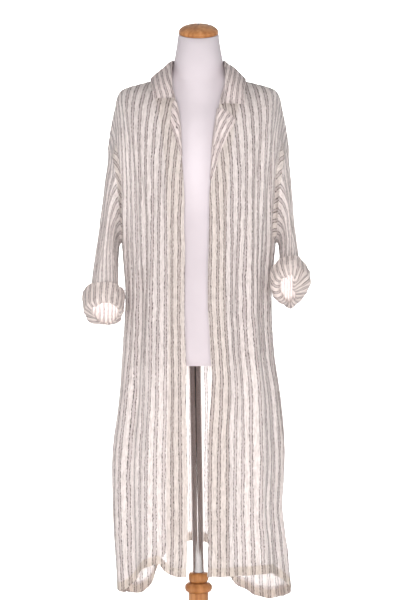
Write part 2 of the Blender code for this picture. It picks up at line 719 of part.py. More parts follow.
def turn_ups(cloth, group):
    """The rolled-up sleeve ends: round the fold and back up outside the sleeve."""
    for side, name in ((-1, "turnup_left"), (1, "turnup_right")):
        shape = TURN_UP[side]
        turns = [c * 360 / SLEEVE_TURNS for c in range(SLEEVE_TURNS)]
        grid = []
        for n in range(ROLL_STEPS + 1):
            angle = math.pi * n / ROLL_STEPS
            radial = shape.roll * (1 - math.cos(angle))
            axial = ROLL_GAP + shape.roll * ROLL_FULLNESS * math.sin(angle)
            grid.append([sleeve_end(side, turn, radial, axial) for turn in turns])
        for share in BAND_ROWS:
            radial = shape.roll * 2 + shape.flare * share
            grid.append([
                sleeve_end(side, turn, radial, -share * turn_up_height(shape, turn)) for turn in turns])
        sheet(name, grid if side < 0 else turned_over(grid), DOUBLED, cloth, group, closed=True)


def belt_loop(thread, group):
    """Thread loop that stands off the right side seam."""
    reach = read(BODY, LOOP_HEIGHT, "right") + CLOTH / 2 + SEAM + LOOP_THREAD / 2
    curve = bpy.data.curves.new("belt_loop", "CURVE")
    curve.dimensions = "3D"
    curve.bevel_depth = LOOP_THREAD / 2
    curve.bevel_resolution = 2
    curve.use_fill_caps = True
    spline = curve.splines.new("POLY")
    steps = 7
    spline.points.add(steps)
    for n in range(steps + 1):
        angle = math.pi * n / steps
        x = reach + LOOP_REACH * math.sin(angle)
        z = LOOP_HEIGHT - LOOP_SPAN / 2 * math.cos(angle)
        spline.points[n].co = (x, SHOULDER_Y, z, 1.0)
    curve.materials.append(thread)
    group.objects.link(bpy.data.objects.new("belt_loop", curve))


# Dress form

def form_ring(row, height):
    """One ring of the dress form at a height."""
    power = 2 / row.squareness
    ring = []
    for n in range(FORM_TURNS):
        angle = 2 * math.pi * n / FORM_TURNS
        c = math.cos(angle)
        s = math.sin(angle)
        x = row.reach * math.copysign(abs(c) ** power, c)
        y = (row.back if s > 0 else row.front) * math.copysign(abs(s) ** power, s)
        y += read(SWELL, height, "depth") * bump(x, SWELL_WIDTH) * s
        ring.append(Vector((x, y + SHOULDER_Y, height)))
    return ring


def shoulder_height(reach):
    """Height of the coat's shoulder seam at a distance from the middle."""
    steps = 200
    best = min((abs(read(SHOULDER, n / steps, "reach") - reach), n / steps) for n in range(steps + 1))
    return read(SHOULDER, best[1], "height")


def torso(skin, group):
    """Torso and neck, one smooth closed form under the coat."""
    rings = [form_ring(row, row.height) for row in TORSO]
    rings += [form_ring(row, shoulder_height(row.reach) - SHOULDER_SEAT) for row in SHOULDER_ROWS]
    rings += [form_ring(row, row.height) for row in NECK]
    tilt = math.tan(NECK_TILT)
    top = form_ring(NECK_END, NECK_TOP)
    rings.append([Vector((p.x, p.y, p.z + (p.y - SHOULDER_Y) * tilt)) for p in top])
    loft("torso", rings, skin, group)


def tilt_on_neck(made, lift):
    """Stand a turned piece on the sloping top of the neck."""
    made.rotation_euler = (NECK_TILT, 0, 0)
    up = Vector((0, -math.sin(NECK_TILT), math.cos(NECK_TILT)))
    made.location = Vector((0, SHOULDER_Y, NECK_TOP)) + up * lift


def neck_cap(wood, metal, group):
    """Domed wooden cap on the neck, with a small plug in its middle."""
    profile = [(0.0, CAP_THICK + CAP_DOME)]
    for n in range(1, 6):
        angle = math.radians(90 - 78 * n / 5)
        profile.append((CAP_RADIUS * math.cos(angle), CAP_THICK + CAP_DOME * math.sin(angle)))
    profile += [(CAP_RADIUS, CAP_THICK), (CAP_RADIUS, 0.001), (CAP_RADIUS - 0.001, 0.0), (0.0, 0.0)]
    cap = turned("neck_cap", profile, wood, group, 28)
    tilt_on_neck(cap, SEAM)
    plug_profile = [
        (0.0, PLUG_HEIGHT), (PLUG_RADIUS * 0.7, PLUG_HEIGHT * 0.8), (PLUG_RADIUS, 0.0), (0.0, 0.0)]
    plug = turned("cap_plug", plug_profile, metal, group, 16)
    tilt_on_neck(plug, SEAM + CAP_THICK + CAP_DOME + SEAM)


def stand(wood, metal, group):
    """Steel pole, turned hub and round foot."""
    pole_top = TORSO[0].height - SEAM
    pole_foot = HUB_TOP - HUB_BORE_DEPTH + SEAM
    pole = [(0.0, pole_top), (POLE_RADIUS, pole_top), (POLE_RADIUS, pole_foot), (0.0, pole_foot)]
    turned("pole", pole, metal, group, 28)
    bore = POLE_RADIUS + SEAM
    hub = [(0.0, HUB_TOP - HUB_BORE_DEPTH), (bore, HUB_TOP - HUB_BORE_DEPTH), (bore, HUB_TOP)]
    hub += [(row.radius, row.height) for row in HUB]
    hub.append((0.0, HUB[-1].height))
    turned("hub", hub, wood, group, 28)
    foot = [(0.0, FOOT_THICK)]
    for n in range(4):
        angle = math.radians(90 - 30 * n)
        across = FOOT_RADIUS - FOOT_EDGE + FOOT_EDGE * math.cos(angle)
        foot.append((across, FOOT_THICK - FOOT_EDGE + FOOT_EDGE * math.sin(angle)))
    foot += [(FOOT_RADIUS, 0.002), (FOOT_RADIUS - 0.002, 0.0), (0.0, 0.0)]
    turned("foot", foot, wood, group, 36)


def main():
    clear_scene()
    group = make_collection("duster_coat_on_dress_form")
    cloth = material("striped_cloth", (0.86, 0.83, 0.78), 0.9)
    thread = material("thread", (0.62, 0.50, 0.42), 0.8)
    skin = material("form_skin", (0.90, 0.84, 0.84), 0.45)
    wood = material("turned_wood", (0.55, 0.30, 0.14), 0.35)
    metal = material("polished_steel", (0.72, 0.72, 0.72), 0.2, 1.0)
    coat_panels(cloth, group)
    facings(cloth, group)
    lapels(cloth, group)
    collar(cloth, group)
    sleeves(cloth, group)
    turn_ups(cloth, group)
    belt_loop(thread, group)
    torso(skin, group)
    neck_cap(wood, metal, group)
    stand(wood, metal, group)


main()
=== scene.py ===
"""Striped duster coat resting on a dress form: its cloth, finishes, light and camera, in metres.

Left and right are as seen from the front, so left is -X. On a panel, share runs from its front edge or
the middle of the back to the side seam, and up is 0 at the hem, 1 at the underarm and 2 at the shoulder.
"""
import math
from collections import namedtuple

import bpy
import numpy as np
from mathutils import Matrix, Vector


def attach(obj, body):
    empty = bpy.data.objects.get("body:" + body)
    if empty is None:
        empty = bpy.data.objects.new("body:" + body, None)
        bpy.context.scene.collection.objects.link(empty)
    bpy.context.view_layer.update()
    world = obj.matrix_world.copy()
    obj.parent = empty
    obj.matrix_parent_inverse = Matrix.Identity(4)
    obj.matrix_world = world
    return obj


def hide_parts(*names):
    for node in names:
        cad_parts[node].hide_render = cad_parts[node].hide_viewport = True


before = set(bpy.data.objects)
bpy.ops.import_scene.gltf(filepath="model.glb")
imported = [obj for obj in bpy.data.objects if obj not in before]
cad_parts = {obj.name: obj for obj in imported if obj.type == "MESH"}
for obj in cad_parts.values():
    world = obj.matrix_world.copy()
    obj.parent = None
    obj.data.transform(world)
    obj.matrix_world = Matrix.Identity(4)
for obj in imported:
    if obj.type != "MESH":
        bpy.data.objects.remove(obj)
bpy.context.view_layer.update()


def rows_of(kind, *values):
    """A table's rows, with its columns named."""
    return [kind(*row) for row in values]


SIDES = ((-1, "left"), (1, "right"))

# Cloth
LAYER = 0.0014          # from one layer of cloth to the next where it is turned back
CLOTH = 0.0013          # room that the solids give one layer of cloth
DOUBLED = 0.0020        # room that the solids give doubled cloth
SEAM = 0.0003
UNDERARM = 1.020        # height where the side seams meet the armholes
REPEAT = 0.019          # one stripe and its ground
BAND_MIDDLE = 0.77      # where in a repeat the middle of its dark band lies

# Body of the coat below the underarm: how far it reaches at each height
Section = namedtuple("Section", "height left right front back")
BODY = rows_of(
    Section,
    (0.190, 0.180, 0.214, 0.163, 0.157),
    (0.270, 0.184, 0.204, 0.160, 0.154),
    (0.350, 0.190, 0.197, 0.157, 0.151),
    (0.430, 0.194, 0.189, 0.154, 0.147),
    (0.550, 0.194, 0.195, 0.148, 0.141),
    (0.660, 0.180, 0.187, 0.142, 0.136),
    (0.770, 0.172, 0.171, 0.136, 0.132),
    (0.900, 0.165, 0.165, 0.129, 0.125),
    (1.020, 0.172, 0.174, 0.122, 0.106),
)
BODY_SQUARENESS = 2.3   # 2 is an ellipse, more is squarer

# Front edges, from the hem up to the underarm
Edge = namedtuple("Edge", "height left right")
FRONT_EDGE = rows_of(
    Edge,
    (0.290, 0.0275, 0.0180),
    (0.360, 0.0236, 0.0193),
    (0.500, 0.0240, 0.0193),
    (0.600, 0.0252, 0.0208),
    (0.710, 0.0264, 0.0285),
    (0.780, 0.0284, 0.0250),
    (0.890, 0.0310, 0.0207),
    (1.020, 0.0302, 0.0228),
)

# Shoulder seam, from the neck over the tip and down the dropped shoulder
Shoulder = namedtuple("Shoulder", "share reach height")
SHOULDER = rows_of(
    Shoulder,
    (0.00, 0.0740, 1.3920),
    (0.25, 0.1310, 1.3775),
    (0.42, 0.1700, 1.3652),
    (0.50, 0.1822, 1.3510),
    (0.62, 0.1895, 1.3200),
    (0.80, 0.1985, 1.2760),
    (1.00, 0.2050, 1.2300),
)
SHOULDER_Y = 0.004      # the shoulder seam lies a little behind the middle

# How each lengthwise line of a panel leaves the shoulder and arrives at the underarm level
Drape = namedtuple("Drape", "share out drop inward rise back_off")
FRONT_DRAPE = rows_of(
    Drape,
    (0.00, 0.092, 0.006, 0.021, 0.235, 0.006),
    (0.35, 0.090, 0.000, 0.010, 0.215, 0.004),
    (0.65, 0.086, 0.000, 0.018, 0.140, 0.012),
    (0.85, 0.088, 0.000, 0.034, 0.080, 0.045),
    (1.00, 0.088, 0.004, 0.024, 0.030, 0.080),
)
BACK_DRAPE = rows_of(
    Drape,
    (0.00, 0.050, 0.016, 0.000, 0.190, 0.014),
    (0.30, 0.072, 0.006, 0.000, 0.190, 0.014),
    (0.60, 0.080, 0.008, 0.000, 0.160, 0.016),
    (0.85, 0.086, 0.003, 0.000, 0.085, 0.045),
    (1.00, 0.086, 0.004, 0.000, 0.030, 0.080),
)
NECK_SHARE = 0.27       # share of half the back's top edge that is neckline
NECKLINE_BACK = 0.066
NECKLINE_RISE = 0.004

# Hem heights, from each front edge to the side seam, and across the back
Hem = namedtuple("Hem", "share height")
HEM_FRONT = {
    -1: rows_of(
        Hem,
        (0.00, 0.2970), (0.10, 0.2985), (0.18, 0.3065), (0.245, 0.3235), (0.30, 0.3190),
        (0.37, 0.3125), (0.50, 0.2855), (0.62, 0.2580), (0.80, 0.2480), (1.00, 0.2400),
    ),
    1: rows_of(
        Hem,
        (0.00, 0.299), (0.30, 0.298), (0.55, 0.298),
        (0.68, 0.285), (0.82, 0.255), (1.00, 0.235),
    ),
}
HEM_BACK = rows_of(
    Hem,
    (-1.00, 0.2400), (-0.86, 0.2260), (-0.72, 0.2200), (-0.60, 0.2115), (-0.52, 0.2110),
    (-0.475, 0.2205), (-0.43, 0.2350), (-0.38, 0.2600), (-0.30, 0.2930), (-0.15, 0.3190),
    (0.00, 0.3250), (0.08, 0.3180), (0.17, 0.2800), (0.255, 0.2360), (0.30, 0.2210),
    (0.38, 0.2130), (0.48, 0.2030), (0.58, 0.1970), (0.70, 0.2060), (0.85, 0.2190),
    (1.00, 0.2350),
)

# Largest folds: soft ridges (+) and troughs (-) that run up a panel between two heights
Fold = namedtuple("Fold", "share width depth low high lean")
FOLDS_FRONT = {
    -1: rows_of(
        Fold,
        (0.15, 0.050, -0.0050, 0.00, 0.90, 0.02),
        (0.32, 0.065, 0.0065, 0.00, 0.85, 0.04),
        (0.52, 0.055, -0.0110, 0.00, 0.55, 0.02),
        (0.52, 0.050, -0.0050, 0.75, 1.50, 0.02),
        (0.68, 0.060, 0.0075, 0.00, 0.55, 0.03),
        (0.76, 0.050, 0.0050, 0.95, 1.60, 0.02),
        (0.90, 0.065, -0.0110, 0.35, 1.45, -0.01),
    ),
    1: rows_of(
        Fold,
        (0.13, 0.050, 0.0040, 0.00, 0.70, 0.02),
        (0.29, 0.060, -0.0065, 0.00, 0.95, 0.04),
        (0.48, 0.065, 0.0080, 0.00, 0.85, -0.03),
        (0.66, 0.055, -0.0095, 0.00, 0.60, 0.02),
        (0.64, 0.050, -0.0055, 0.85, 1.55, 0.03),
        (0.82, 0.050, 0.0060, 0.00, 0.30, 0.02),
        (0.90, 0.065, -0.0115, 0.40, 1.45, -0.01),
    ),
}
FOLDS_BACK = rows_of(
    Fold,
    (-0.84, 0.050, -0.0090, 0.00, 1.15, 0.02),
    (-0.66, 0.055, 0.0090, 0.00, 0.85, 0.03),
    (-0.44, 0.050, -0.0115, 0.00, 1.00, -0.03),
    (-0.22, 0.055, 0.0080, 0.00, 0.75, 0.02),
    (0.02, 0.050, -0.0110, 0.00, 1.10, 0.02),
    (0.26, 0.055, 0.0095, 0.00, 0.80, 0.03),
    (0.47, 0.050, -0.0105, 0.00, 0.95, 0.02),
    (0.67, 0.055, 0.0085, 0.00, 0.70, -0.02),
    (0.86, 0.050, -0.0085, 0.00, 1.15, 0.02),
)
FOLD_EASE = 0.45
FLAT_AT_SEAM = 0.06
FLAT_AT_SHOULDER = 0.12

# Width and length of a panel's cloth, in metres for one step of share or up
FRONT_WIDTH = 0.24
BACK_WIDTH = 0.26
SKIRT_LENGTH = 0.72
ARMHOLE_DEPTH = 0.36
CREASE_TAPER = 0.3      # share of a crease over which it fades at each end

# Creases given one by one, from one point of a panel to another: width, depth and sideways bow in metres
Crease = namedtuple("Crease", "share up to_share to_up width depth bow")
CREASES_FRONT = {
    -1: rows_of(
        Crease,
        (0.30, 0.30, 0.36, 1.45, 0.0060, -0.0030, 0.004),
        (0.42, 0.70, 0.44, 1.62, 0.0050, -0.0026, -0.003),
        (0.60, 0.55, 0.66, 1.55, 0.0065, -0.0034, 0.004),
        (0.70, 1.05, 0.62, 1.80, 0.0050, -0.0024, 0.003),
        (0.80, 0.75, 0.84, 1.40, 0.0055, -0.0028, -0.003),
        (0.20, 0.80, 0.26, 1.50, 0.0050, -0.0022, 0.003),
        (0.40, 0.02, 0.44, 0.62, 0.0070, -0.0028, 0.005),
        (0.24, 0.05, 0.22, 0.50, 0.0060, -0.0020, -0.004),
        (0.80, 0.05, 0.76, 0.60, 0.0065, -0.0032, 0.004),
    ),
    1: rows_of(
        Crease,
        (0.34, 0.35, 0.38, 1.40, 0.0060, -0.0030, -0.004),
        (0.46, 0.80, 0.50, 1.60, 0.0050, -0.0026, 0.003),
        (0.58, 0.50, 0.60, 1.35, 0.0060, -0.0030, -0.003),
        (0.72, 0.95, 0.64, 1.85, 0.0055, -0.0028, 0.004),
        (0.80, 0.65, 0.82, 1.35, 0.0055, -0.0030, 0.003),
        (0.18, 0.85, 0.22, 1.35, 0.0050, -0.0020, -0.003),
        (0.42, 0.03, 0.38, 0.55, 0.0065, -0.0028, 0.004),
        (0.56, 0.00, 0.54, 0.30, 0.0050, -0.0036, 0.002),
        (0.20, 0.00, 0.24, 0.45, 0.0060, -0.0022, 0.004),
        (0.86, 0.05, 0.80, 0.55, 0.0065, -0.0034, -0.004),
    ),
}
CREASES_BACK = rows_of(
    Crease,
    (-0.90, 0.40, -0.80, 1.50, 0.0065, -0.0030, 0.004),
    (-0.74, 0.10, -0.70, 0.90, 0.0070, -0.0030, -0.004),
    (-0.56, 0.60, -0.50, 1.60, 0.0060, -0.0032, 0.004),
    (-0.34, 0.05, -0.32, 0.95, 0.0065, -0.0030, 0.004),
    (-0.28, 0.75, -0.36, 1.65, 0.0060, -0.0026, -0.004),
    (-0.12, 0.20, -0.08, 1.35, 0.0060, -0.0028, 0.003),
    (0.12, 0.65, 0.10, 1.60, 0.0055, -0.0028, -0.003),
    (0.16, 0.00, 0.14, 0.60, 0.0065, -0.0028, 0.004),
    (0.36, 0.35, 0.40, 1.50, 0.0060, -0.0032, 0.004),
    (0.56, 0.10, 0.60, 1.00, 0.0065, -0.0030, -0.003),
    (0.70, 0.80, 0.62, 1.70, 0.0060, -0.0028, 0.004),
    (0.78, 0.05, 0.80, 0.85, 0.0065, -0.0032, 0.004),
    (0.92, 0.60, 0.84, 1.45, 0.0060, -0.0030, -0.003),
)

# How strong the small vertical folds are up a panel
Crowd = namedtuple("Crowd", "up strength")
CROWDING = rows_of(
    Crowd,
    (0.00, 0.35), (0.30, 0.50), (0.60, 0.85), (0.95, 1.00), (1.30, 1.00),
    (1.60, 0.75), (1.85, 0.35), (2.00, 0.15),
)
# Small folds of the cloth: the size of their cells across and along it, and their depth
Ripple = namedtuple("Ripple", "across along depth seed")
SMALL_FOLDS = rows_of(Ripple, (0.0150, 0.210, 0.0024, 3), (0.0260, 0.330, 0.0026, 5))
CRINKLES = rows_of(Ripple, (0.0075, 0.050, 0.0007, 7), (0.0048, 0.018, 0.0004, 9))

# Cut of a panel: where its edges lie across the cloth, measured from the straight front edge
Cut = namedtuple("Cut", "up edge outer")
CUT_FRONT = rows_of(
    Cut,
    (0.00, 0.000, 0.262), (1.00, 0.000, 0.262), (1.20, 0.008, 0.262), (1.45, 0.036, 0.268),
    (1.70, 0.067, 0.286), (2.00, 0.098, 0.322),
)
CUT_BACK = rows_of(
    Cut,
    (0.00, 0.000, 0.290), (1.00, 0.000, 0.262), (1.40, 0.000, 0.280), (2.00, 0.000, 0.322),
)
STRIPE_START = {-1: 0.0150, 1: 0.0050}   # from the front edge to its first dark band
# The recess beside the armhole, where the stripes slant
SLANT = 0.85
SLANT_SHARE = 0.865
SLANT_LOW = 1.02
SLANT_HIGH = 1.86
SLANT_EASE = 0.08
SLANT_START = 0.80      # place up the cloth where the slant is nil
OVER_SHOULDER = 0.98    # place up the cloth where they begin to turn level over the dropped shoulder
OVER_SLANT = 5.0
HEM_BAND = 0.020
STITCH_DEPTH = 0.0006
STITCH_WIDTH = 0.0012

# How strongly a second layer that shows through tints the cloth; in the recess the tint also paints shade
FACED = 0.45
FACING = 0.5
# The recess beside the armhole: partly a deeper layer of cloth, partly painted shade
RECESS_LAYER_AND_SHADE = 0.5
ROLLED_UP = 0.2
FACING_SHARE = 0.18
FACING_TOP = 1.85
EDGE_WAVE = 0.0015

# Lapels
LAPEL_LIFT = 0.0048
LAPEL_FULL_WIDTH = 0.020
LAPEL_START = 0.25      # how far through its arch a lapel is at the front's edge
LAPEL_SOFTNESS = 0.8
LAPEL_TURN = 0.6        # half turns that its roll makes round the front's edge
LAPEL_WAVE = 0.0010
LAPEL_SLOPE = 0.37      # slope of its outer edge, which its stripes follow
Lapel = namedtuple("Lapel", "up width")
LAPEL = {
    -1: rows_of(
        Lapel,
        (1.300, 0.0030), (1.360, 0.0080), (1.420, 0.0165), (1.500, 0.0170),
        (1.600, 0.0070),
    ),
    1: rows_of(
        Lapel,
        (1.205, 0.0030), (1.250, 0.0095), (1.310, 0.0160), (1.345, 0.0230),
        (1.420, 0.0335), (1.490, 0.0430), (1.545, 0.0210),
    ),
}

# Collar, from the middle of the back (0) past the shoulder seam (1) to its front end (2)
Collar = namedtuple("Collar", "at off crest_x crest_y crest_z edge_x edge_y edge_z")
COLLAR_BACK_AND_SIDE = rows_of(
    Collar,
    (0.00, 0.0013, 0.0000, 0.0705, 1.4380, 0.000, 0.1080, 1.3900),
    (0.45, 0.0013, 0.0320, 0.0600, 1.4370, 0.052, 0.0970, 1.3880),
    (0.80, 0.0014, 0.0530, 0.0310, 1.4340, 0.092, 0.0570, 1.3890),
    (1.02, 0.0015, 0.0580, -0.0020, 1.4290, 0.106, 0.0000, 1.3875),
    (1.30, 0.0024, 0.0582, -0.0340, 1.4120, 0.105, -0.0450, 1.3740),
    (1.60, 0.0028, 0.0580, -0.0690, 1.3820, 0.101, -0.0830, 1.3500),
)
COLLAR_END_LEFT = Collar(2.00, 0.0025, 0.0555, -0.0960, 1.3340, 0.0975, -0.1020, 1.3290)
COLLAR_END_RIGHT = Collar(2.00, 0.0025, 0.0560, -0.1010, 1.3220, 0.1010, -0.1070, 1.3150)
COLLAR_BULGE = 0.0040
COLLAR_ROLL = 0.0020
COLLAR_BOW = 0.0012     # how far its stand bows out
COLLAR_WAVE = 0.0022    # how far its edge waves
COLLAR_EDGE = 0.012
COLLAR_LENGTH = 0.14    # length of cloth for one step of its table
COLLAR_REACH = {-1: 0.375, 1: 0.425}

# Sleeves: the ring where each sleeve is rolled up, and how its cloth leaves the armhole
Ring = namedtuple("Ring", "x y z across depth slope")
SLEEVE_END = {
    -1: Ring(-0.2078, -0.083, 0.864, 0.0335, 0.0380, 0.024),
    1: Ring(0.2010, -0.092, 0.921, 0.0220, 0.0270, 0.032),
}
Leave = namedtuple("Leave", "turn out forward drop rise")
SLEEVE_LEAVE = rows_of(
    Leave,
    (0, 0.006, 0.000, 0.110, 0.090),
    (45, 0.014, 0.012, 0.075, 0.085),
    (90, 0.032, 0.012, 0.035, 0.090),
    (135, 0.024, 0.012, 0.006, 0.070),
    (180, 0.014, 0.000, 0.000, 0.060),
)
SLEEVE_FOLDS = rows_of(
    Fold,
    (50, 18, -0.0060, 0.10, 0.60, 25),
    (110, 20, 0.0045, 0.10, 0.50, -20),
    (250, 18, -0.0060, 0.10, 0.60, -20),
    (300, 20, 0.0045, 0.10, 0.60, 20),
)
SLEEVE_FOLD_EASE = 0.15
SLEEVE_CLOTH = 0.400    # width of a sleeve's cut
SLEEVE_LENGTH = 0.40    # and its length down to the roll
# Creases of a sleeve, from one turn and share of the way down to another
Bend = namedtuple("Bend", "turn down to_turn to_down width depth")
SLEEVE_BENDS = rows_of(
    Bend,
    (60, 0.10, 75, 0.75, 7, -0.0030),
    (88, 0.30, 92, 0.95, 6, -0.0026),
    (120, 0.15, 108, 0.80, 7, -0.0030),
    (35, 0.25, 40, 0.90, 8, -0.0028),
    (150, 0.20, 140, 0.70, 8, -0.0028),
    (215, 0.15, 225, 0.80, 8, -0.0030),
    (260, 0.30, 268, 0.95, 7, -0.0028),
    (295, 0.10, 285, 0.75, 7, -0.0030),
    (330, 0.25, 325, 0.90, 8, -0.0026),
    (5, 0.35, 12, 0.95, 8, -0.0026),
)

# Turn-ups: the roll's radius, its height in front and behind, and how far its top stands off the sleeve
TurnUp = namedtuple("TurnUp", "roll height_front height_back flare")
TURN_UP = {
    -1: TurnUp(0.0055, 0.042, 0.062, 0.002),
    1: TurnUp(0.0090, 0.030, 0.036, 0.003),
}
ROLL_FULLNESS = 1.2
ROLL_STEPS = 15
BULGE_FULLNESS = 0.35
TURN_UP_BOW = 0.0016
# Where a roll bulges into its opening: the turn round the sleeve, and how wide and how far
Bulge = namedtuple("Bulge", "turn width depth")
ROLL_BULGES = {
    -1: rows_of(Bulge, (345, 46, 0.0230), (272, 50, 0.0240), (70, 22, 0.0050), (205, 25, 0.0060)),
    1: rows_of(Bulge, (15, 62, 0.0250), (250, 44, 0.0130), (310, 22, 0.0040), (120, 24, 0.0050)),
}
CLOSE_STRIPES = 1.45    # how much closer the stripes lie on the turned-out pieces

# Thread belt loop on the right side seam
LOOP_HEIGHT = 0.818
LOOP_SPAN = 0.018
LOOP_REACH = 0.0062
LOOP_THREAD = 0.0013

# Dress form
FormSection = namedtuple("FormSection", "height reach front back squareness")
TORSO = rows_of(
    FormSection,
    (0.746, 0.141, 0.086, 0.094, 2.15),
    (0.752, 0.146, 0.091, 0.099, 2.15),
    (0.800, 0.149, 0.095, 0.107, 2.15),
    (0.870, 0.146, 0.096, 0.108, 2.15),
    (0.940, 0.136, 0.091, 0.095, 2.15),
    (1.000, 0.126, 0.086, 0.082, 2.15),
    (1.050, 0.122, 0.085, 0.076, 2.15),
    (1.110, 0.130, 0.093, 0.077, 2.15),
    (1.160, 0.140, 0.102, 0.081, 2.15),
    (1.200, 0.146, 0.101, 0.085, 2.15),
    (1.250, 0.152, 0.089, 0.084, 2.15),
    (1.300, 0.162, 0.069, 0.073, 2.05),
    (1.335, 0.1670, 0.050, 0.053, 1.85),
    (1.3646, 0.160, 0.034, 0.035, 1.70),
    (1.3710, 0.146, 0.035, 0.036, 1.58),
    (1.3755, 0.131, 0.037, 0.037, 1.48),
    (1.3800, 0.112, 0.038, 0.036, 1.36),
    (1.3842, 0.092, 0.041, 0.037, 1.40),
    (1.3868, 0.0640, 0.0460, 0.0460, 1.75),
    (1.410, 0.0585, 0.0490, 0.0500, 2.00),
    (1.435, 0.0545, 0.0480, 0.0490, 2.05),
    (1.460, 0.0495, 0.0465, 0.0475, 2.05),
)
NECK_END = FormSection(None, 0.0455, 0.0405, 0.0410, 2.05)
# Extra depth at the middle, where the chest and the back run up into the neck
Swell = namedtuple("Swell", "height depth")
SWELL = rows_of(
    Swell,
    (1.300, 0.0000), (1.335, 0.0010), (1.3646, 0.0135), (1.3710, 0.0120),
    (1.3755, 0.0095), (1.3800, 0.0085), (1.3842, 0.0065), (1.3868, 0.0010),
    (1.4100, 0.0000),
)
SWELL_WIDTH = 0.055
NECK_TILT = math.radians(24)
NECK_TOP = 1.4905
PAINTED_SHADE_FROM = 1.28        # height from which painted shade greys the shell's colour
CAP_RADIUS = 0.0448
CAP_THICK = 0.0050
CAP_DOME = 0.0165

# Stand
POLE_RADIUS = 0.0128
POLE_LEAN = 0.017       # towards the left for each metre up
POLE_TOP = 0.7455
POLE_BOTTOM = 0.1803
POLE_BEVEL = 0.0006
POLE_BEVEL_HIGH = 0.0007
HUB_TOP = 0.279
HUB_MOUTH = 0.0136
Bead = namedtuple("Bead", "top bottom neck widest")
HUB_BEADS = rows_of(Bead, (0.2790, 0.2568, 0.0172, 0.0232), (0.2562, 0.2340, 0.0205, 0.0310))
BEAD_STEPS = 15
Turned = namedtuple("Turned", "radius height")
HUB_STEM = rows_of(Turned, (0.0225, 0.2332), (0.0222, 0.200))
HUB_FLARE = rows_of(
    Turned, (0.0225, 0.160), (0.0250, 0.105), (0.0330, 0.070), (0.0460, 0.048), (0.0590, 0.0335),
)
HUB_FLARE_RINGS = 30
HUB_FOOT = 0.0600
FOOT_RADIUS = 0.175
FOOT_THICK = 0.030
FOOT_EDGE = 0.008
GROOVE = 0.0012         # depth of the ring turned into the foot's top

# Mesh density
FRONT_COLUMNS = 168
BACK_COLUMNS = 251
SKIRT_ROWS = 210
CHEST_ROWS = 130
BACK_SKIRT_ROWS = 190
BACK_CHEST_ROWS = 116
SLEEVE_COLUMNS = 181
SLEEVE_ROWS = 120
HEM_ROWS = 6
QUARTER_STEPS = 56
LAPEL_ROWS = 64
COLLAR_COLUMNS = 221
FORM_RINGS = 150
FORM_SOFTENING = 16

# Backdrop: where its floor begins to curve up, behind a camera that looks from the back
SWEEP_START = 2.4
SWEEP_BEND = 1.2

# Lights: sizes in metres, power in watts, spread in degrees
Light = namedtuple("Light", "name place aim wide high power spread")
LIGHTS = rows_of(
    Light,
    ("key", (-2.0, -2.6, 1.2), (0.0, 0.0, 0.8), 1.2, 1.8, 12.0, 180),
    ("fill", (2.2, -2.5, 0.9), (0.0, 0.0, 0.8), 1.2, 1.8, 9.5, 180),
    ("front", (0.0, -3.3, 0.6), (0.0, 0.0, 0.80), 0.9, 0.9, 74.0, 180),
    ("backdrop_light", (0.0, 2.3, 3.4), (0.0, 3.8, 1.0), 4.0, 0.6, 90.0, 80),
    ("floor_light", (0.0, 1.9, 3.4), (0.0, 1.9001, 0.0), 4.0, 0.9, 62.0, 45),
    ("inside_skirt", (0.0, 0.03, 0.52), (0.0, 1.0, 0.50), 0.16, 0.44, 0.45, 180),
    ("inside_left_cuff", (-0.206, -0.078, 0.900), (-0.206, 0.200, 0.880), 0.03, 0.03, 0.050, 180),
    ("inside_right_cuff", (0.201, -0.088, 0.950), (0.201, 0.200, 0.930), 0.02, 0.02, 0.046, 180),
)
WORLD_STRENGTH = 0.50

# Camera: the photo's own height and distance
CAMERA_AWAY = 3.2
CAMERA_X = 0.0034
CAMERA_Z = 0.891
CAMERA_LENS = 56.89


# Reading tables and curves

def read(table, key, column):
    """Values of a column at keys of the table's first column, on a smooth curve through its rows."""
    keys = np.array([row[0] for row in table], float)
    values = np.array([getattr(row, column) for row in table], float)
    slopes = np.empty(len(keys))
    slopes[1:-1] = (values[2:] - values[:-2]) / (keys[2:] - keys[:-2])
    slopes[0] = (values[1] - values[0]) / (keys[1] - keys[0])
    slopes[-1] = (values[-1] - values[-2]) / (keys[-1] - keys[-2])
    key = np.clip(key, keys[0], keys[-1])
    i = np.clip(np.searchsorted(keys, key, side="left") - 1, 0, len(keys) - 2)
    span = keys[i + 1] - keys[i]
    u = (key - keys[i]) / span
    rise = values[i + 1] - values[i]
    bend = (slopes[i] * span - rise) * (1 - u) + (rise - slopes[i + 1] * span) * u
    return values[i] + rise * u + u * (1 - u) * bend


def bezier(start, leave, arrive, end, t):
    """Points on cubic curves."""
    t = t[..., None]
    u = 1 - t
    return start * u ** 3 + leave * (3 * u * u * t) + arrive * (3 * u * t * t) + end * t ** 3


def bump(distance, width):
    """Soft bell of height 1, whose foot is about twice its width away."""
    return np.exp(-(distance / width) ** 2)


def fade(value, low, high, edge):
    """1 between low and high, easing to 0 over an edge outside them."""
    outside = np.maximum(np.maximum(low - value, value - high), 0.0)
    return np.maximum(0.0, 1 - outside / edge) ** 2


def turn_apart(turn, middle):
    """Degrees from one turn to another, between -180 and 180."""
    return (turn - middle + 180) % 360 - 180


def ease(value):
    """Smooth step from 0 to 1."""
    value = np.clip(value, 0.0, 1.0)
    return value * value * (3 - 2 * value)


def noise(u, v, across, along, seed):
    """Smooth irregular values between -1 and 1 over the cloth."""
    size = 97
    table = np.random.default_rng(seed).uniform(-1, 1, (size, size))
    x = u / across + 31.7
    y = v / along + 11.3
    i = np.floor(x).astype(int)
    j = np.floor(y).astype(int)
    a = ease(x - i)
    b = ease(y - j)
    low = table[i % size, j % size] * (1 - a) + table[(i + 1) % size, j % size] * a
    high = table[i % size, (j + 1) % size] * (1 - a) + table[(i + 1) % size, (j + 1) % size] * a
    return low * (1 - b) + high * b


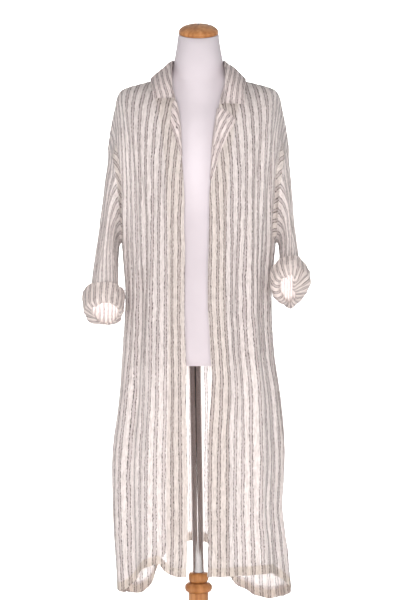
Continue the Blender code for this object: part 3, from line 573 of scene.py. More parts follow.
def soften(rows, passes):
    """Rows of points, evened out towards their neighbours."""
    for _ in range(passes):
        rows[1:-1] = (rows[:-2] + 2 * rows[1:-1] + rows[2:]) / 4
    return rows


def stack(x, y, z):
    """Points from three arrays of coordinates."""
    return np.stack(np.broadcast_arrays(x, y, z), axis=-1)


# Coat body

def quarter(height, side, face, start, share):
    """Points on a quarter of the body's outline, at a share of its length from the middle."""
    reach = np.where(side < 0, read(BODY, height, "left"), read(BODY, height, "right"))
    depth = read(BODY, height, face)
    power = 2 / BODY_SQUARENESS
    first = np.arcsin((start / reach) ** (1 / power))
    steps = np.linspace(0, 1, QUARTER_STEPS + 1)

    def outline(first, steps, reach, depth):
        angle = first + (math.pi / 2 - first) * steps
        x = reach * np.sin(angle) ** power
        y = depth * np.maximum(np.cos(angle), 0.0) ** power
        return x, (-y if face == "front" else y) + SHOULDER_Y * steps

    x, y = outline(first[..., None], steps, reach[..., None], depth[..., None])
    lengths = np.cumsum(np.hypot(np.diff(x), np.diff(y)), axis=-1)
    lengths = np.concatenate([np.zeros((*lengths.shape[:-1], 1)), lengths], axis=-1)
    target = share[..., None] * lengths[..., -1:]
    n = np.clip((lengths < target).sum(axis=-1, keepdims=True), 1, QUARTER_STEPS)
    before = np.take_along_axis(lengths, n - 1, -1)
    after = np.take_along_axis(lengths, n, -1)
    place = (n - 1 + (target - before) / (after - before)) / QUARTER_STEPS
    x, y = outline(first[..., None], place, reach[..., None], depth[..., None])
    return stack(side * x[..., 0], y[..., 0], height)


def shoulder_line(side, share):
    """Points on the shoulder seam, from the neck to the top of the armhole."""
    return stack(side * read(SHOULDER, share, "reach"), SHOULDER_Y, read(SHOULDER, share, "height"))


def fold_push(folds, share, up):
    """How far the largest folds move a panel outwards. They end short of the side seams."""
    push = np.zeros_like(share)
    for fold in folds:
        middle = fold.share + fold.lean * up
        push += fold.depth * bump(share - middle, fold.width) * fade(up, fold.low, fold.high, FOLD_EASE)
    return push


def drape(table, side, sign, share, top, low, up):
    """Points on lengthwise lines between the underarm level and the shoulder."""
    leave = stack(-side * read(table, share, "inward"), sign * read(table, share, "out"),
                  -read(table, share, "drop"))
    arrive = stack(0.0, sign * read(table, share, "back_off"), read(table, share, "rise"))
    return bezier(low, low + arrive, top + leave, top, up)


def front_base(side, share, up):
    """Front panel without its folds."""
    hem = read(HEM_FRONT[side], share, "height")
    height = hem + (UNDERARM - hem) * np.minimum(up, 1.0)
    start = read(FRONT_EDGE, height, "left" if side < 0 else "right")
    low = quarter(height, side, "front", start, share)
    high = drape(FRONT_DRAPE, side, -1, share, shoulder_line(side, share), low, np.clip(up - 1, 0, 1))
    return np.where((up <= 1)[..., None], low, high)


def back_top(side, share):
    """Top edge of half the back: the neckline, then the shoulder seam."""
    seam = shoulder_line(side, np.clip((share - NECK_SHARE) / (1 - NECK_SHARE), 0, 1))
    angle = np.minimum(share / NECK_SHARE, 1) * math.pi / 2
    neck = SHOULDER[0]
    neckline = stack(side * neck.reach * np.sin(angle), SHOULDER_Y + NECKLINE_BACK * np.cos(angle),
                     neck.height + NECKLINE_RISE * np.cos(angle))
    return np.where((share >= NECK_SHARE)[..., None], seam, neckline)


def back_base(share, up):
    """Back panel without its folds, from -1 at the left side seam to 1 at the right one."""
    side = np.where(share < 0, -1, 1)
    hem = read(HEM_BACK, share, "height")
    height = hem + (UNDERARM - hem) * np.minimum(up, 1.0)
    low = quarter(height, side, "back", np.zeros_like(share), np.abs(share))
    top = back_top(side, np.abs(share))
    high = drape(BACK_DRAPE, side, 1, np.abs(share), top, low, np.clip(up - 1, 0, 1))
    return np.where((up <= 1)[..., None], low, high)


def normals(points, middle, tube=False):
    """Unit vectors that leave a grid of points on the side away from its middle."""
    if tube:
        padded = np.concatenate([points[:, -2:-1], points, points[:, 1:2]], axis=1)
        across = np.gradient(padded, axis=1)[:, 1:-1]
    else:
        across = np.gradient(points, axis=1)
    normal = np.cross(across, np.gradient(points, axis=0))
    normal /= np.maximum(np.linalg.norm(normal, axis=-1, keepdims=True), 1e-12)
    return normal if (normal * (points - middle)).sum() > 0 else -normal


def lengths_down(points, axis):
    """Distance along a grid's lines from their first point."""
    steps = np.linalg.norm(np.diff(points, axis=axis), axis=-1)
    total = np.cumsum(steps, axis=axis)
    return np.concatenate([np.zeros_like(np.take(total, [0], axis)), total], axis=axis)


def crease_push(creases, share, up, width):
    """How far the listed creases move a panel outwards."""
    def place(s, u):
        return s * width, np.where(u <= 1, u * SKIRT_LENGTH, SKIRT_LENGTH + (u - 1) * ARMHOLE_DEPTH)

    x, y = place(share, up)
    push = np.zeros_like(share)
    for crease in creases:
        ax, ay = place(crease.share, crease.up)
        bx, by = place(crease.to_share, crease.to_up)
        length = math.hypot(bx - ax, by - ay)
        along = ((x - ax) * (bx - ax) + (y - ay) * (by - ay)) / length ** 2
        off = ((x - ax) * (by - ay) - (y - ay) * (bx - ax)) / length
        off = off - crease.bow * np.sin(2 * math.pi * along)
        taper = ease(along / CREASE_TAPER) * ease((1 - along) / CREASE_TAPER)
        push += crease.depth * bump(off, crease.width) * taper
    return push


def ripples(table, u, v):
    """Irregular small folds over the cloth."""
    push = np.zeros_like(u)
    for ripple in table:
        drift = noise(u, v, 0.060, 0.110, ripple.seed + 50) * ripple.across * 0.8
        push += ripple.depth * noise(u + drift, v, ripple.across, ripple.along, ripple.seed)
    return push


Surface = namedtuple("Surface", "share up points out u v")


def finish_panel(share, up, base, u, push):
    """A panel's surface, pushed out from its base."""
    middle = base * (0, 0, 1)
    out = normals(base, middle)
    points = base + out * push[..., None]
    return Surface(share, up, points, normals(points, middle), u, lengths_down(base, 0))


def panel_push(share, up, u, v, folds, creases, width, seed):
    """Every fold of a panel: the large, the small and the crinkle of the cloth."""
    crowd = read(CROWDING, up, "strength")
    calm = np.minimum((1 - np.abs(share)) / FLAT_AT_SEAM, 1.0) * ease((2 - up) / FLAT_AT_SHOULDER)
    push = fold_push(folds, share, up) + crease_push(creases, share, up, width)
    push += ripples(SMALL_FOLDS, u + seed, v) * crowd
    push += ripples(CRINKLES, u + seed, v) * (0.5 + 0.5 * crowd)
    stitched = -STITCH_DEPTH * bump(v - HEM_BAND, STITCH_WIDTH)
    return push * calm + stitched + ripples(CRINKLES, u + seed, v) * 0.35


def panel_rows(skirt, chest):
    """Rows of a panel from its hem to its shoulder."""
    return np.concatenate([np.linspace(0, 1, skirt, endpoint=False), np.linspace(1, 2, chest)])


def front_surface(side):
    """A front with all its folds."""
    shares = np.linspace(0, 1, FRONT_COLUMNS)
    up, share = np.meshgrid(panel_rows(SKIRT_ROWS, CHEST_ROWS), shares, indexing="ij")
    base = front_base(side, share, up)
    edge = read(CUT_FRONT, up, "edge")
    u = edge + share * (read(CUT_FRONT, up, "outer") - edge)
    v = lengths_down(base, 0)
    push = panel_push(share, up, u, v, FOLDS_FRONT[side], CREASES_FRONT[side], FRONT_WIDTH, side * 0.7)
    wave = EDGE_WAVE * noise(v * 0, v, 1.0, 0.060, 40 + side) * bump(share, 0.08)
    base = base + stack(wave, 0.0, 0.0)
    return finish_panel(share, up, base, u, push)


def back_surface():
    """The back with all its folds."""
    shares = np.linspace(-1, 1, BACK_COLUMNS)
    up, share = np.meshgrid(panel_rows(BACK_SKIRT_ROWS, BACK_CHEST_ROWS), shares, indexing="ij")
    base = back_base(share, up)
    u = share * read(CUT_BACK, up, "outer")
    v = lengths_down(base, 0)
    push = panel_push(share, up, u, v, FOLDS_BACK, CREASES_BACK, BACK_WIDTH, 2.3)
    return finish_panel(share, up, base, u, push)


def sample(surface, share, up, off=0.0):
    """Points on a surface at any shares and heights, moved off its outer side."""
    shares = surface.share[0]
    ups = surface.up[:, 0]
    x = np.interp(share, shares, np.arange(len(shares)))
    y = np.interp(up, ups, np.arange(len(ups)))
    i = np.clip(np.floor(x).astype(int), 0, len(shares) - 2)
    j = np.clip(np.floor(y).astype(int), 0, len(ups) - 2)
    a = (x - i)[..., None]
    b = (y - j)[..., None]

    def mix(values):
        low = values[j, i] * (1 - a) + values[j, i + 1] * a
        high = values[j + 1, i] * (1 - a) + values[j + 1, i + 1] * a
        return low * (1 - b) + high * b

    off = np.broadcast_to(off, share.shape)[..., None]
    return mix(surface.points) + mix(surface.out) * off


# Meshes

def turn_up_hem(points, out, u, v, dense_and_shade):
    """The same sheet with a band along its first row turned up inside it."""
    inner = points[1:HEM_ROWS + 1][::-1] - out[1:HEM_ROWS + 1][::-1] * LAYER
    edge = points[:1] - out[:1] * LAYER - np.array([0.0, 0.0, 0.0006])
    band = slice(HEM_ROWS, 0, -1)
    return (np.concatenate([inner, edge, points]), np.concatenate([out[band], out[:1], out]),
            np.concatenate([u[band], u[:1], u]), np.concatenate([-v[band], v[:1], v]),
            np.concatenate([dense_and_shade[band], dense_and_shade[:1], dense_and_shade]))


def in_scene(name, data):
    """A new object of the scene."""
    made = bpy.data.objects.new(name, data)
    bpy.context.scene.collection.objects.link(made)
    return made


def new_piece(name, data, node):
    """A new object that takes the place of one solid."""
    piece = in_scene(name, data)
    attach(piece, "root")
    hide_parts(node)
    return piece


def cloth_piece(name, node, points, out, u, v, dense_and_shade, finish):
    """A sheet of cloth through a grid of points."""
    rows, columns = points.shape[:2]
    index = np.arange(rows * columns).reshape(rows, columns)
    corners = [index[:-1, :-1], index[:-1, 1:], index[1:, 1:], index[1:, :-1]]
    across = points[:-1, 1:] - points[:-1, :-1]
    rise = points[1:, :-1] - points[:-1, :-1]
    if (np.cross(across, rise) * out[:-1, :-1]).sum() < 0:
        corners.reverse()
    faces = np.stack(corners, axis=-1).reshape(-1, 4)
    mesh = bpy.data.meshes.new(name)
    mesh.from_pydata(points.reshape(-1, 3).tolist(), [], faces.tolist())
    cloth = mesh.attributes.new("cloth", "FLOAT_VECTOR", "POINT")
    cloth.data.foreach_set("vector", stack(u, v, 0.0).astype(np.float32).ravel())
    layer = mesh.attributes.new("dense_and_shade", "FLOAT", "POINT")
    layer.data.foreach_set("value", np.broadcast_to(dense_and_shade, u.shape).astype(np.float32).ravel())
    mesh.materials.append(finish)
    mesh.shade_smooth()
    return new_piece(name, mesh, node)


def solid_piece(name, node, rings, finish):
    """A closed solid through rings of points, with a flat cap at each end."""
    count, wide = rings.shape[:2]
    faces = []
    for r in range(count - 1):
        for c in range(wide):
            beside = (c + 1) % wide
            faces.append((r * wide + c, (r + 1) * wide + c, (r + 1) * wide + beside, r * wide + beside))
    faces.append(tuple(range(wide)))
    faces.append(tuple(reversed(range((count - 1) * wide, count * wide))))
    mesh = bpy.data.meshes.new(name)
    mesh.from_pydata(rings.reshape(-1, 3).tolist(), [], faces)
    mesh.materials.append(finish)
    mesh.shade_smooth()
    mesh.set_sharp_from_angle(angle=math.radians(35))
    return new_piece(name, mesh, node)


def revolve(name, node, profile, turns, finish):
    """A turned solid whose profile of radii and heights runs from top to bottom."""
    angles = np.linspace(0, 2 * math.pi, turns, endpoint=False)
    radius = np.array([row[0] for row in profile])[:, None]
    height = np.array([row[1] for row in profile])[:, None]
    rings = stack(radius * np.cos(angles), radius * np.sin(angles), height)
    return solid_piece(name, node, rings[:, ::-1], finish)


def refine(rings, count):
    """More rings on smooth curves through the given ones, evenly spaced."""
    steps = np.linalg.norm(np.diff(rings, axis=0), axis=-1).mean(axis=1)
    place = np.concatenate([[0], np.cumsum(steps)])
    slopes = np.gradient(rings, place, axis=0)
    wanted = np.linspace(0, place[-1], count)
    i = np.clip(np.searchsorted(place, wanted, side="right") - 1, 0, len(place) - 2)
    span = (place[i + 1] - place[i])[:, None, None]
    t = (wanted - place[i])[:, None, None] / span
    rise = rings[i + 1] - rings[i]
    bend = (slopes[i] * span - rise) * (1 - t) + (rise - slopes[i + 1] * span) * t
    return rings[i] + rise * t + t * (1 - t) * bend


# Materials

class Finish:
    """A material that is built from its nodes."""

    def __init__(self, name):
        self.material = bpy.data.materials.new(name)
        self.material.use_nodes = True
        self.tree = self.material.node_tree
        self.shader = self.tree.nodes["Principled BSDF"]

    def node(self, kind, **settings):
        made = self.tree.nodes.new(kind)
        for key, value in settings.items():
            setattr(made, key, value)
        return made

    def link(self, source, target):
        self.tree.links.new(source, target)

    def math(self, operation, first, second=None):
        made = self.node("ShaderNodeMath", operation=operation)
        for socket, value in zip(made.inputs, (first, second)):
            if value is None:
                continue
            if isinstance(value, (int, float)):
                socket.default_value = value
            else:
                self.link(value, socket)
        return made.outputs[0]

    def noise(self, vector, scale, detail=2.0, roughness=0.5):
        made = self.node("ShaderNodeTexNoise")
        made.inputs["Scale"].default_value = scale
        made.inputs["Detail"].default_value = detail
        made.inputs["Roughness"].default_value = roughness
        self.link(vector, made.inputs["Vector"])
        return made.outputs["Fac"]

    def object_place(self, squeeze=1.0):
        """Coordinates on the object, squeezed along its height."""
        place = self.node("ShaderNodeTexCoord").outputs["Object"]
        if squeeze == 1.0:
            return place
        made = self.node("ShaderNodeMapping")
        made.inputs["Scale"].default_value = (1.0, 1.0, squeeze)
        self.link(place, made.inputs["Vector"])
        return made.outputs[0]

    def ramp(self, factor, stops):
        """Colours along a factor. A single number is a grey."""
        made = self.node("ShaderNodeValToRGB")
        elements = made.color_ramp.elements
        while len(elements) < len(stops):
            elements.new(0.5)
        for element, (position, colour) in zip(elements, stops):
            element.position = position
            element.color = (*colour, 1.0) if isinstance(colour, tuple) else (colour, colour, colour, 1.0)
        self.link(factor, made.inputs["Fac"])
        return made.outputs["Color"]

    def mix(self, factor, first, second, kind="MIX"):
        made = self.node("ShaderNodeMix", data_type="RGBA", blend_type=kind)
        for socket, value in zip((made.inputs[0], made.inputs[6], made.inputs[7]), (factor, first, second)):
            if isinstance(value, (int, float)):
                socket.default_value = value
            elif isinstance(value, tuple):
                socket.default_value = (*value, 1.0)
            else:
                self.link(value, socket)
        return made.outputs[2]

    def times(self, first, second):
        return self.mix(1.0, first, second, "MULTIPLY")

    def bump(self, height, distance, strength=1.0):
        made = self.node("ShaderNodeBump")
        made.inputs["Distance"].default_value = distance
        made.inputs["Strength"].default_value = strength
        self.link(height, made.inputs["Height"])
        self.link(made.outputs[0], self.shader.inputs["Normal"])

    def set(self, **values):
        for key, value in values.items():
            self.shader.inputs[key.replace("_", " ")].default_value = value


GROUND = (0.750, 0.680, 0.660)
DARK_LINE = (0.120, 0.098, 0.094)
MID_BAND = (0.560, 0.490, 0.480)
# Creamier tint of doubled and faced cloth; in the recess beside the armhole it is painted shade.
DENSE_AND_SHADE_TINT = (0.92, 0.885, 0.82)

# Across one repeat: the band's colour, and where its two dark lines are drawn
STRIPE_BAND = [(0.00, GROUND), (0.560, GROUND), (0.590, MID_BAND), (0.940, MID_BAND), (0.985, GROUND)]
STRIPE_LINES = [
    (0.00, 0.0), (0.535, 0.0), (0.560, 1.0), (0.620, 1.0), (0.660, 0.0),
    (0.860, 0.0), (0.895, 1.0), (0.955, 1.0), (0.985, 0.0),
]

WOOD_STREAKS = [(0.32, (0.32, 0.112, 0.033)), (0.5, (0.46, 0.192, 0.063)), (0.68, (0.57, 0.27, 0.105))]


def striped_cloth(name, alpha, tint):
    """Crinkled cotton gauze, cream with grey-taupe stripes between two fine dark lines, with painted shade in
    its crinkles, its pleats and the recess beside the armhole.
    """
    made = Finish(name)
    place = made.node("ShaderNodeAttribute", attribute_name="cloth")
    parts = made.node("ShaderNodeSeparateXYZ")
    made.link(place.outputs["Vector"], parts.inputs[0])

    def cells(across, along):
        """The cloth's own coordinates in cells of a size across and along it."""
        sized = made.node("ShaderNodeCombineXYZ")
        made.link(made.math("MULTIPLY", parts.outputs[0], 1 / across), sized.inputs[0])
        made.link(made.math("MULTIPLY", parts.outputs[1], 1 / along), sized.inputs[1])
        return sized.outputs[0]

    def centred(value, size):
        return made.math("MULTIPLY", made.math("SUBTRACT", value, 0.5), size)

    slow = centred(made.noise(cells(0.020, 0.045), 1.0, 2.0), 0.0052)
    quick = centred(made.noise(cells(0.006, 0.0060), 1.0, 2.0, 0.6), 0.0040)
    across = made.math("ADD", made.math("ADD", parts.outputs[0], slow), quick)
    turn = made.math("FRACT", made.math("DIVIDE", across, REPEAT))
    band = made.ramp(turn, STRIPE_BAND)
    lines = made.ramp(turn, STRIPE_LINES)
    broken = made.ramp(made.noise(cells(0.0045, 0.0050), 1.0, 2.0), [(0.36, 0.15), (0.56, 1.0)])
    strength = made.math("MULTIPLY", lines, broken)
    colour = made.mix(strength, band, DARK_LINE)
    grain = made.noise(cells(0.00055, 0.009), 1.0, 2.0)
    grain_tone = made.ramp(grain, [(0.30, (0.90, 0.895, 0.885)), (0.70, (1.06, 1.055, 1.05))])
    colour = made.times(colour, grain_tone)
    crinkle = made.noise(cells(0.0035, 0.016), 1.0, 3.0, 0.6)
    # Painted shade: the crinkle's hollows are darkened in the colour as well as bumped.
    painted_crinkle_shade = made.ramp(crinkle, [(0.32, (0.80, 0.785, 0.78)), (0.58, 1.05)])
    colour = made.times(colour, painted_crinkle_shade)
    # Painted shadows of thin vertical pleats that have no shape or bump of their own.
    pleat_shade_pattern = made.noise(cells(0.0022, 0.045), 1.0, 2.0)
    painted_pleat_shade = made.ramp(pleat_shade_pattern, [(0.35, (0.88, 0.865, 0.86)), (0.55, 1.03)])
    colour = made.times(colour, painted_pleat_shade)
    # Doubled and faced cloth turns creamier here; in the recess beside the armhole this tint is painted
    # shade.
    dense_and_shade = made.node("ShaderNodeAttribute", attribute_name="dense_and_shade").outputs["Fac"]
    colour = made.mix(dense_and_shade, colour, made.times(colour, DENSE_AND_SHADE_TINT))
    made.link(made.times(colour, tint), made.shader.inputs["Base Color"])
    weave = made.noise(cells(0.0004, 0.0004), 1.0, 1.0)
    made.bump(made.math("ADD", crinkle, made.math("MULTIPLY", weave, 0.10)), 0.0022, 0.9)
    roughness = made.ramp(grain, [(0.3, 0.96), (0.7, 0.84)])
    made.link(roughness, made.shader.inputs["Roughness"])
    made.set(Sheen_Weight=0.10, Sheen_Roughness=0.5, Specular_IOR_Level=0.15, Alpha=alpha)
    return made.material


def plain_thread():
    """Twisted cotton thread."""
    made = Finish("thread")
    wave = made.node("ShaderNodeTexWave", bands_direction="DIAGONAL")
    wave.inputs["Scale"].default_value = 900.0
    made.link(made.object_place(), wave.inputs["Vector"])
    made.link(made.ramp(wave.outputs["Fac"], [(0.0, (0.62, 0.42, 0.32)), (1.0, (0.82, 0.66, 0.56))]),
              made.shader.inputs["Base Color"])
    made.bump(wave.outputs["Fac"], 0.0002)
    made.set(Roughness=0.8)
    return made.material


def form_skin():
    """Pale matte shell of the form, with painted shade that greys it up the neck."""
    made = Finish("form_skin")
    place = made.object_place()
    tone = made.noise(place, 14.0, 3.0)
    pale = made.ramp(tone, [(0.3, (0.74, 0.665, 0.70)), (0.7, (0.77, 0.695, 0.73))])
    parts = made.node("ShaderNodeSeparateXYZ")
    made.link(place, parts.inputs[0])
    # Painted shade: the colour darkens to 80% from the upper chest up the neck.
    above_chest = made.math("SUBTRACT", parts.outputs[2], PAINTED_SHADE_FROM)
    painted_neck_shade = made.ramp(made.math("DIVIDE", above_chest, NECK_TOP - PAINTED_SHADE_FROM), [(0.0, 1.0), (0.8, 0.80)])
    made.link(made.times(pale, painted_neck_shade), made.shader.inputs["Base Color"])
    made.bump(made.noise(place, 900.0, 2.0), 0.00008)
    made.link(made.ramp(made.noise(place, 60.0), [(0.3, 0.42), (0.7, 0.52)]), made.shader.inputs["Roughness"])
    return made.material


def turned_wood():
    """Varnished orange-brown wood, its grain along the axis."""
    made = Finish("turned_wood")
    place = made.object_place(0.12)
    grain = made.noise(place, 95.0, 5.0, 0.62)
    wide = made.noise(place, 26.0, 2.0)
    streaks = made.ramp(grain, WOOD_STREAKS)
    tone = made.ramp(wide, [(0.3, (0.86, 0.84, 0.80)), (0.7, 1.08)])
    made.link(made.times(streaks, tone), made.shader.inputs["Base Color"])
    made.bump(grain, 0.00012)
    made.link(made.ramp(grain, [(0.3, 0.42), (0.7, 0.36)]), made.shader.inputs["Roughness"])
    made.set(Coat_Weight=0.18, Coat_Roughness=0.15)
    return made.material


def polished_steel():
    """Chromed tube with faint wear."""
    made = Finish("polished_steel")
    brushed = made.noise(made.object_place(0.04), 700.0, 3.0)
    made.link(made.ramp(brushed, [(0.3, (0.58, 0.535, 0.525)), (0.7, (0.68, 0.63, 0.62))]),
              made.shader.inputs["Base Color"])
    made.link(made.ramp(brushed, [(0.3, 0.12), (0.7, 0.20)]), made.shader.inputs["Roughness"])
    made.set(Metallic=1.0)
    return made.material


SHEER = striped_cloth("striped_cloth", 0.87, (1.0, 1.0, 1.0))
DOUBLE = striped_cloth("striped_cloth_doubled", 1.0, (1.0, 0.965, 0.97))
# The sleeves' copy of the cloth is brightened by 6%, which is painted light.
SLEEVE_WITH_PAINTED_LIGHT = striped_cloth("striped_cloth_sleeve_painted_light", 0.93, (1.06, 1.06, 1.06))
ROLLED = striped_cloth("striped_cloth_rolled", 1.0, (1.0, 0.985, 0.98))
WOOD = turned_wood()
STEEL = polished_steel()
SKIN = form_skin()
THREAD = plain_thread()


# Pieces of the coat

def stripes(u, side):
    """Place across the stripes, counted from the first dark band at a front's edge."""
    return u - STRIPE_START[side] + BAND_MIDDLE * REPEAT


def build_fronts():
    surfaces = {}
    for side, name in SIDES:
        surface = front_surface(side)
        surfaces[side] = surface
        faced = ease((FACING_SHARE - surface.share) / 0.01) * ease((FACING_TOP - surface.up) / 0.01)
        dense_and_shade = np.maximum(FACED * faced, ease((HEM_BAND - surface.v) / 0.001))
        beside = ease((surface.share - SLANT_SHARE) / 0.03)
        beside *= ease((surface.up - SLANT_LOW) / SLANT_EASE) * ease((SLANT_HIGH - surface.up) / SLANT_EASE)
        over = np.maximum(surface.v - OVER_SHOULDER, 0)
        slant = SLANT * (surface.v - SLANT_START) + OVER_SLANT * over ** 2
        u = stripes(surface.u, side) - slant * beside
        # In the recess beside the armhole the tint of doubled cloth stands for a deeper layer and for painted
        # shade.
        hemmed = turn_up_hem(surface.points, surface.out, u, surface.v, np.maximum(dense_and_shade, RECESS_LAYER_AND_SHADE * beside))
        piece = cloth_piece(f"coat_front_{name}", f"front_{name}", *hemmed, SHEER)
        build_facing(surface, side, name)
        build_lapel(surface, side, name)
    return surfaces


def build_facing(surface, side, name):
    """The strip inside a front's edge."""
    columns = int(FACING_SHARE * FRONT_COLUMNS) + 1
    rows = int((surface.up[:, 0] < FACING_TOP).sum())
    part = (slice(2, rows), slice(0, columns))
    points = surface.points[part] - surface.out[part] * (CLOTH + SEAM)
    piece = cloth_piece(f"coat_facing_{name}", f"facing_{name}", points, surface.out[part],
                        stripes(surface.u[part], side), surface.v[part], FACING, SHEER)


def build_lapel(surface, side, name):
    """The turned-out top of a front, with a soft roll round the front's edge."""
    table = LAPEL[side]
    ups = np.linspace(table[0].up, table[-1].up, LAPEL_ROWS)
    width = read(table, ups, "width")
    row_length = np.array([
        np.interp(up, surface.up[:, 0], lengths_down(surface.points, 1)[:, -1]) for up in ups])
    turn_steps = np.linspace(-1, 0, 8, endpoint=False)
    flat_steps = np.linspace(0, 1, 24)
    across = np.concatenate([turn_steps, flat_steps])
    up, step = np.meshgrid(ups, across, indexing="ij")
    wide = np.broadcast_to(width[:, None], up.shape)
    distance = np.maximum(step, 0) * wide
    share = distance / np.broadcast_to(row_length[:, None], up.shape)
    lies = CLOTH / 2 + SEAM + DOUBLED / 2
    full = np.minimum(wide / LAPEL_FULL_WIDTH, 1.0)
    lift = LAPEL_LIFT * np.sin(math.pi * np.clip(step + LAPEL_START, 0, 1)) ** LAPEL_SOFTNESS * full
    lift += LAPEL_WAVE * noise(distance, up * ARMHOLE_DEPTH, 0.012, 0.030, 61 + side) * full
    off = np.where(step >= 0, lies + lift, 0.0)
    angle = np.clip(-step, 0, 1) * math.pi * LAPEL_TURN
    start_off = lies + LAPEL_LIFT * math.sin(math.pi * LAPEL_START) ** LAPEL_SOFTNESS * full
    radius = start_off / 2 + 0.0006
    turned_off = start_off - radius * (1 - np.cos(angle))
    off = np.where(step >= 0, off, turned_off)
    points = sample(surface, share, up, off)
    beyond = np.where(step < 0, radius * np.sin(angle), 0.0)
    points = points - stack(side * beyond, 0.0, 0.0)
    middle = points.mean(axis=(0, 1)) * (0, 0, 1)
    out = normals(points, middle)
    straight_edge = table[0].width + LAPEL_SLOPE * (up - table[0].up) * ARMHOLE_DEPTH
    across_cloth = (straight_edge - step * wide) * CLOSE_STRIPES + 0.35 * REPEAT
    piece = cloth_piece(f"coat_lapel_{name}", f"lapel_{name}", points, out,
                        across_cloth, (up - 1) * ARMHOLE_DEPTH, 0.0, DOUBLE)


def build_back():
    surface = back_surface()
    dense_and_shade = ease((HEM_BAND - surface.v) / 0.001)
    hemmed = turn_up_hem(surface.points, surface.out, surface.u + BAND_MIDDLE * REPEAT, surface.v, dense_and_shade)
    piece = cloth_piece("coat_back", "back", *hemmed, SHEER)
    return surface


def collar_table():
    """The collar's stations from its left end (-2) to its right end (2)."""
    left = [row._replace(at=-row.at, crest_x=-row.crest_x, edge_x=-row.edge_x)
            for row in (COLLAR_END_LEFT, *reversed(COLLAR_BACK_AND_SIDE[1:]))]
    return [*left, *COLLAR_BACK_AND_SIDE, COLLAR_END_RIGHT]


def build_collar(fronts, back):
    """The collar: up its stand, over the crest and down the fall."""
    table = collar_table()
    at = np.linspace(-2, 2, COLLAR_COLUMNS)
    off = read(table, at, "off")
    on_back = sample(back, np.clip(at, -1, 1) * NECK_SHARE, np.full_like(at, 2.0), off)
    seam = on_back.copy()
    for side in (-1, 1):
        down = np.maximum(side * at - 1, 0) * COLLAR_REACH[side]
        on_front = sample(fronts[side], np.zeros_like(at), 2 - down, off)
        seam = np.where((side * at > 1)[:, None], on_front, seam)
    seam = soften(seam, 6)
    crest = stack(*(read(table, at, f"crest_{axis}") for axis in "xyz"))
    edge = stack(*(read(table, at, f"edge_{axis}") for axis in "xyz"))
    away = (edge - crest) * (1, 1, 0)
    away /= np.linalg.norm(away, axis=-1, keepdims=True)
    up = np.array([0.0, 0.0, 1.0])
    stand_end = crest - up * COLLAR_ROLL
    over = crest + away * COLLAR_ROLL * 2 - up * COLLAR_ROLL * 0.8
    columns = []
    across = []
    stand = np.linalg.norm(stand_end - seam, axis=-1)
    for share in np.linspace(0, 1, 14):
        bow = COLLAR_BOW * math.sin(math.pi * share)
        columns.append(seam + (stand_end - seam) * share + away * bow)
        across.append(stand * share)
    for step in range(1, 8):
        angle = math.pi * step / 8
        out_of_stand = away * COLLAR_ROLL * (1 - math.cos(angle))
        columns.append(stand_end + out_of_stand + up * COLLAR_ROLL * 1.25 * math.sin(angle))
        across.append(stand + COLLAR_ROLL * angle)
    fall = edge - over
    fall_length = np.linalg.norm(fall, axis=-1)
    lift = away * 0.35 + up
    bulge = COLLAR_BULGE * (1 - 0.35 * np.abs(at))
    for share in np.linspace(0, 1, 26):
        rise = bulge * math.sin(math.pi * share)
        columns.append(over + fall * share + lift * rise[:, None])
        across.append(stand + COLLAR_ROLL * math.pi + fall_length * share)
    points = np.stack(columns, axis=1)
    u = np.stack(across, axis=1)
    v = np.broadcast_to((at * COLLAR_LENGTH)[:, None], u.shape)
    centre = stack(0.0, 0.0, seam[:, 2].mean() - 0.1)
    out = normals(points, centre)
    soft = ease((u - stand[:, None]) / 0.010)
    push = (0.0011 * noise(u, v, 0.016, 0.045, 71) + 0.0008 * noise(u, v, 0.006, 0.022, 72)) * soft
    edge_share = ease((u - (u[:, -1:] - COLLAR_EDGE)) / COLLAR_EDGE)
    push += COLLAR_WAVE * noise(v * 0, v, 1.0, 0.022, 73) * edge_share
    points = points + out * push[..., None]
    piece = cloth_piece("coat_collar", "collar", points, normals(points, centre),
                        (u[:, -1:] - u) * CLOSE_STRIPES + BAND_MIDDLE * REPEAT - 0.008, v, 0.0, DOUBLE)


def armhole(side, turn):
    """Points on the armhole's edge: 0 is its top, 90 the front, 180 the underarm and 270 the back."""
    turn = turn % 360
    ones = np.ones_like(turn)
    front = front_base(side, ones, 2 - np.minimum(turn, 180) / 180)
    back = back_base(ones * side, 2 - (360 - np.maximum(turn, 180)) / 180)
    return np.where((turn <= 180)[..., None], front, back)


def roll_axis(side):
    """Unit vector out of the sleeve's opening, forwards and down."""
    ring = SLEEVE_END[side]
    axis = np.array([0.0, -ring.slope, -ring.depth])
    return axis / np.linalg.norm(axis)


def sleeve_end(side, turn, radial=0.0, axial=0.0):
    """Points on the ring where a sleeve is rolled up, moved out from the ring and along its axis."""
    ring = SLEEVE_END[side]
    angle = np.radians(turn)
    radial = np.broadcast_to(radial, turn.shape)
    axial = np.broadcast_to(axial, turn.shape)[..., None]
    grow = radial / math.hypot(ring.depth, ring.slope) + 1
    x = ring.x + side * (ring.across + radial) * np.cos(angle)
    y = ring.y - ring.depth * grow * np.sin(angle)
    z = ring.z + ring.slope * grow * np.sin(angle)
    return stack(x, y, z) + roll_axis(side) * axial


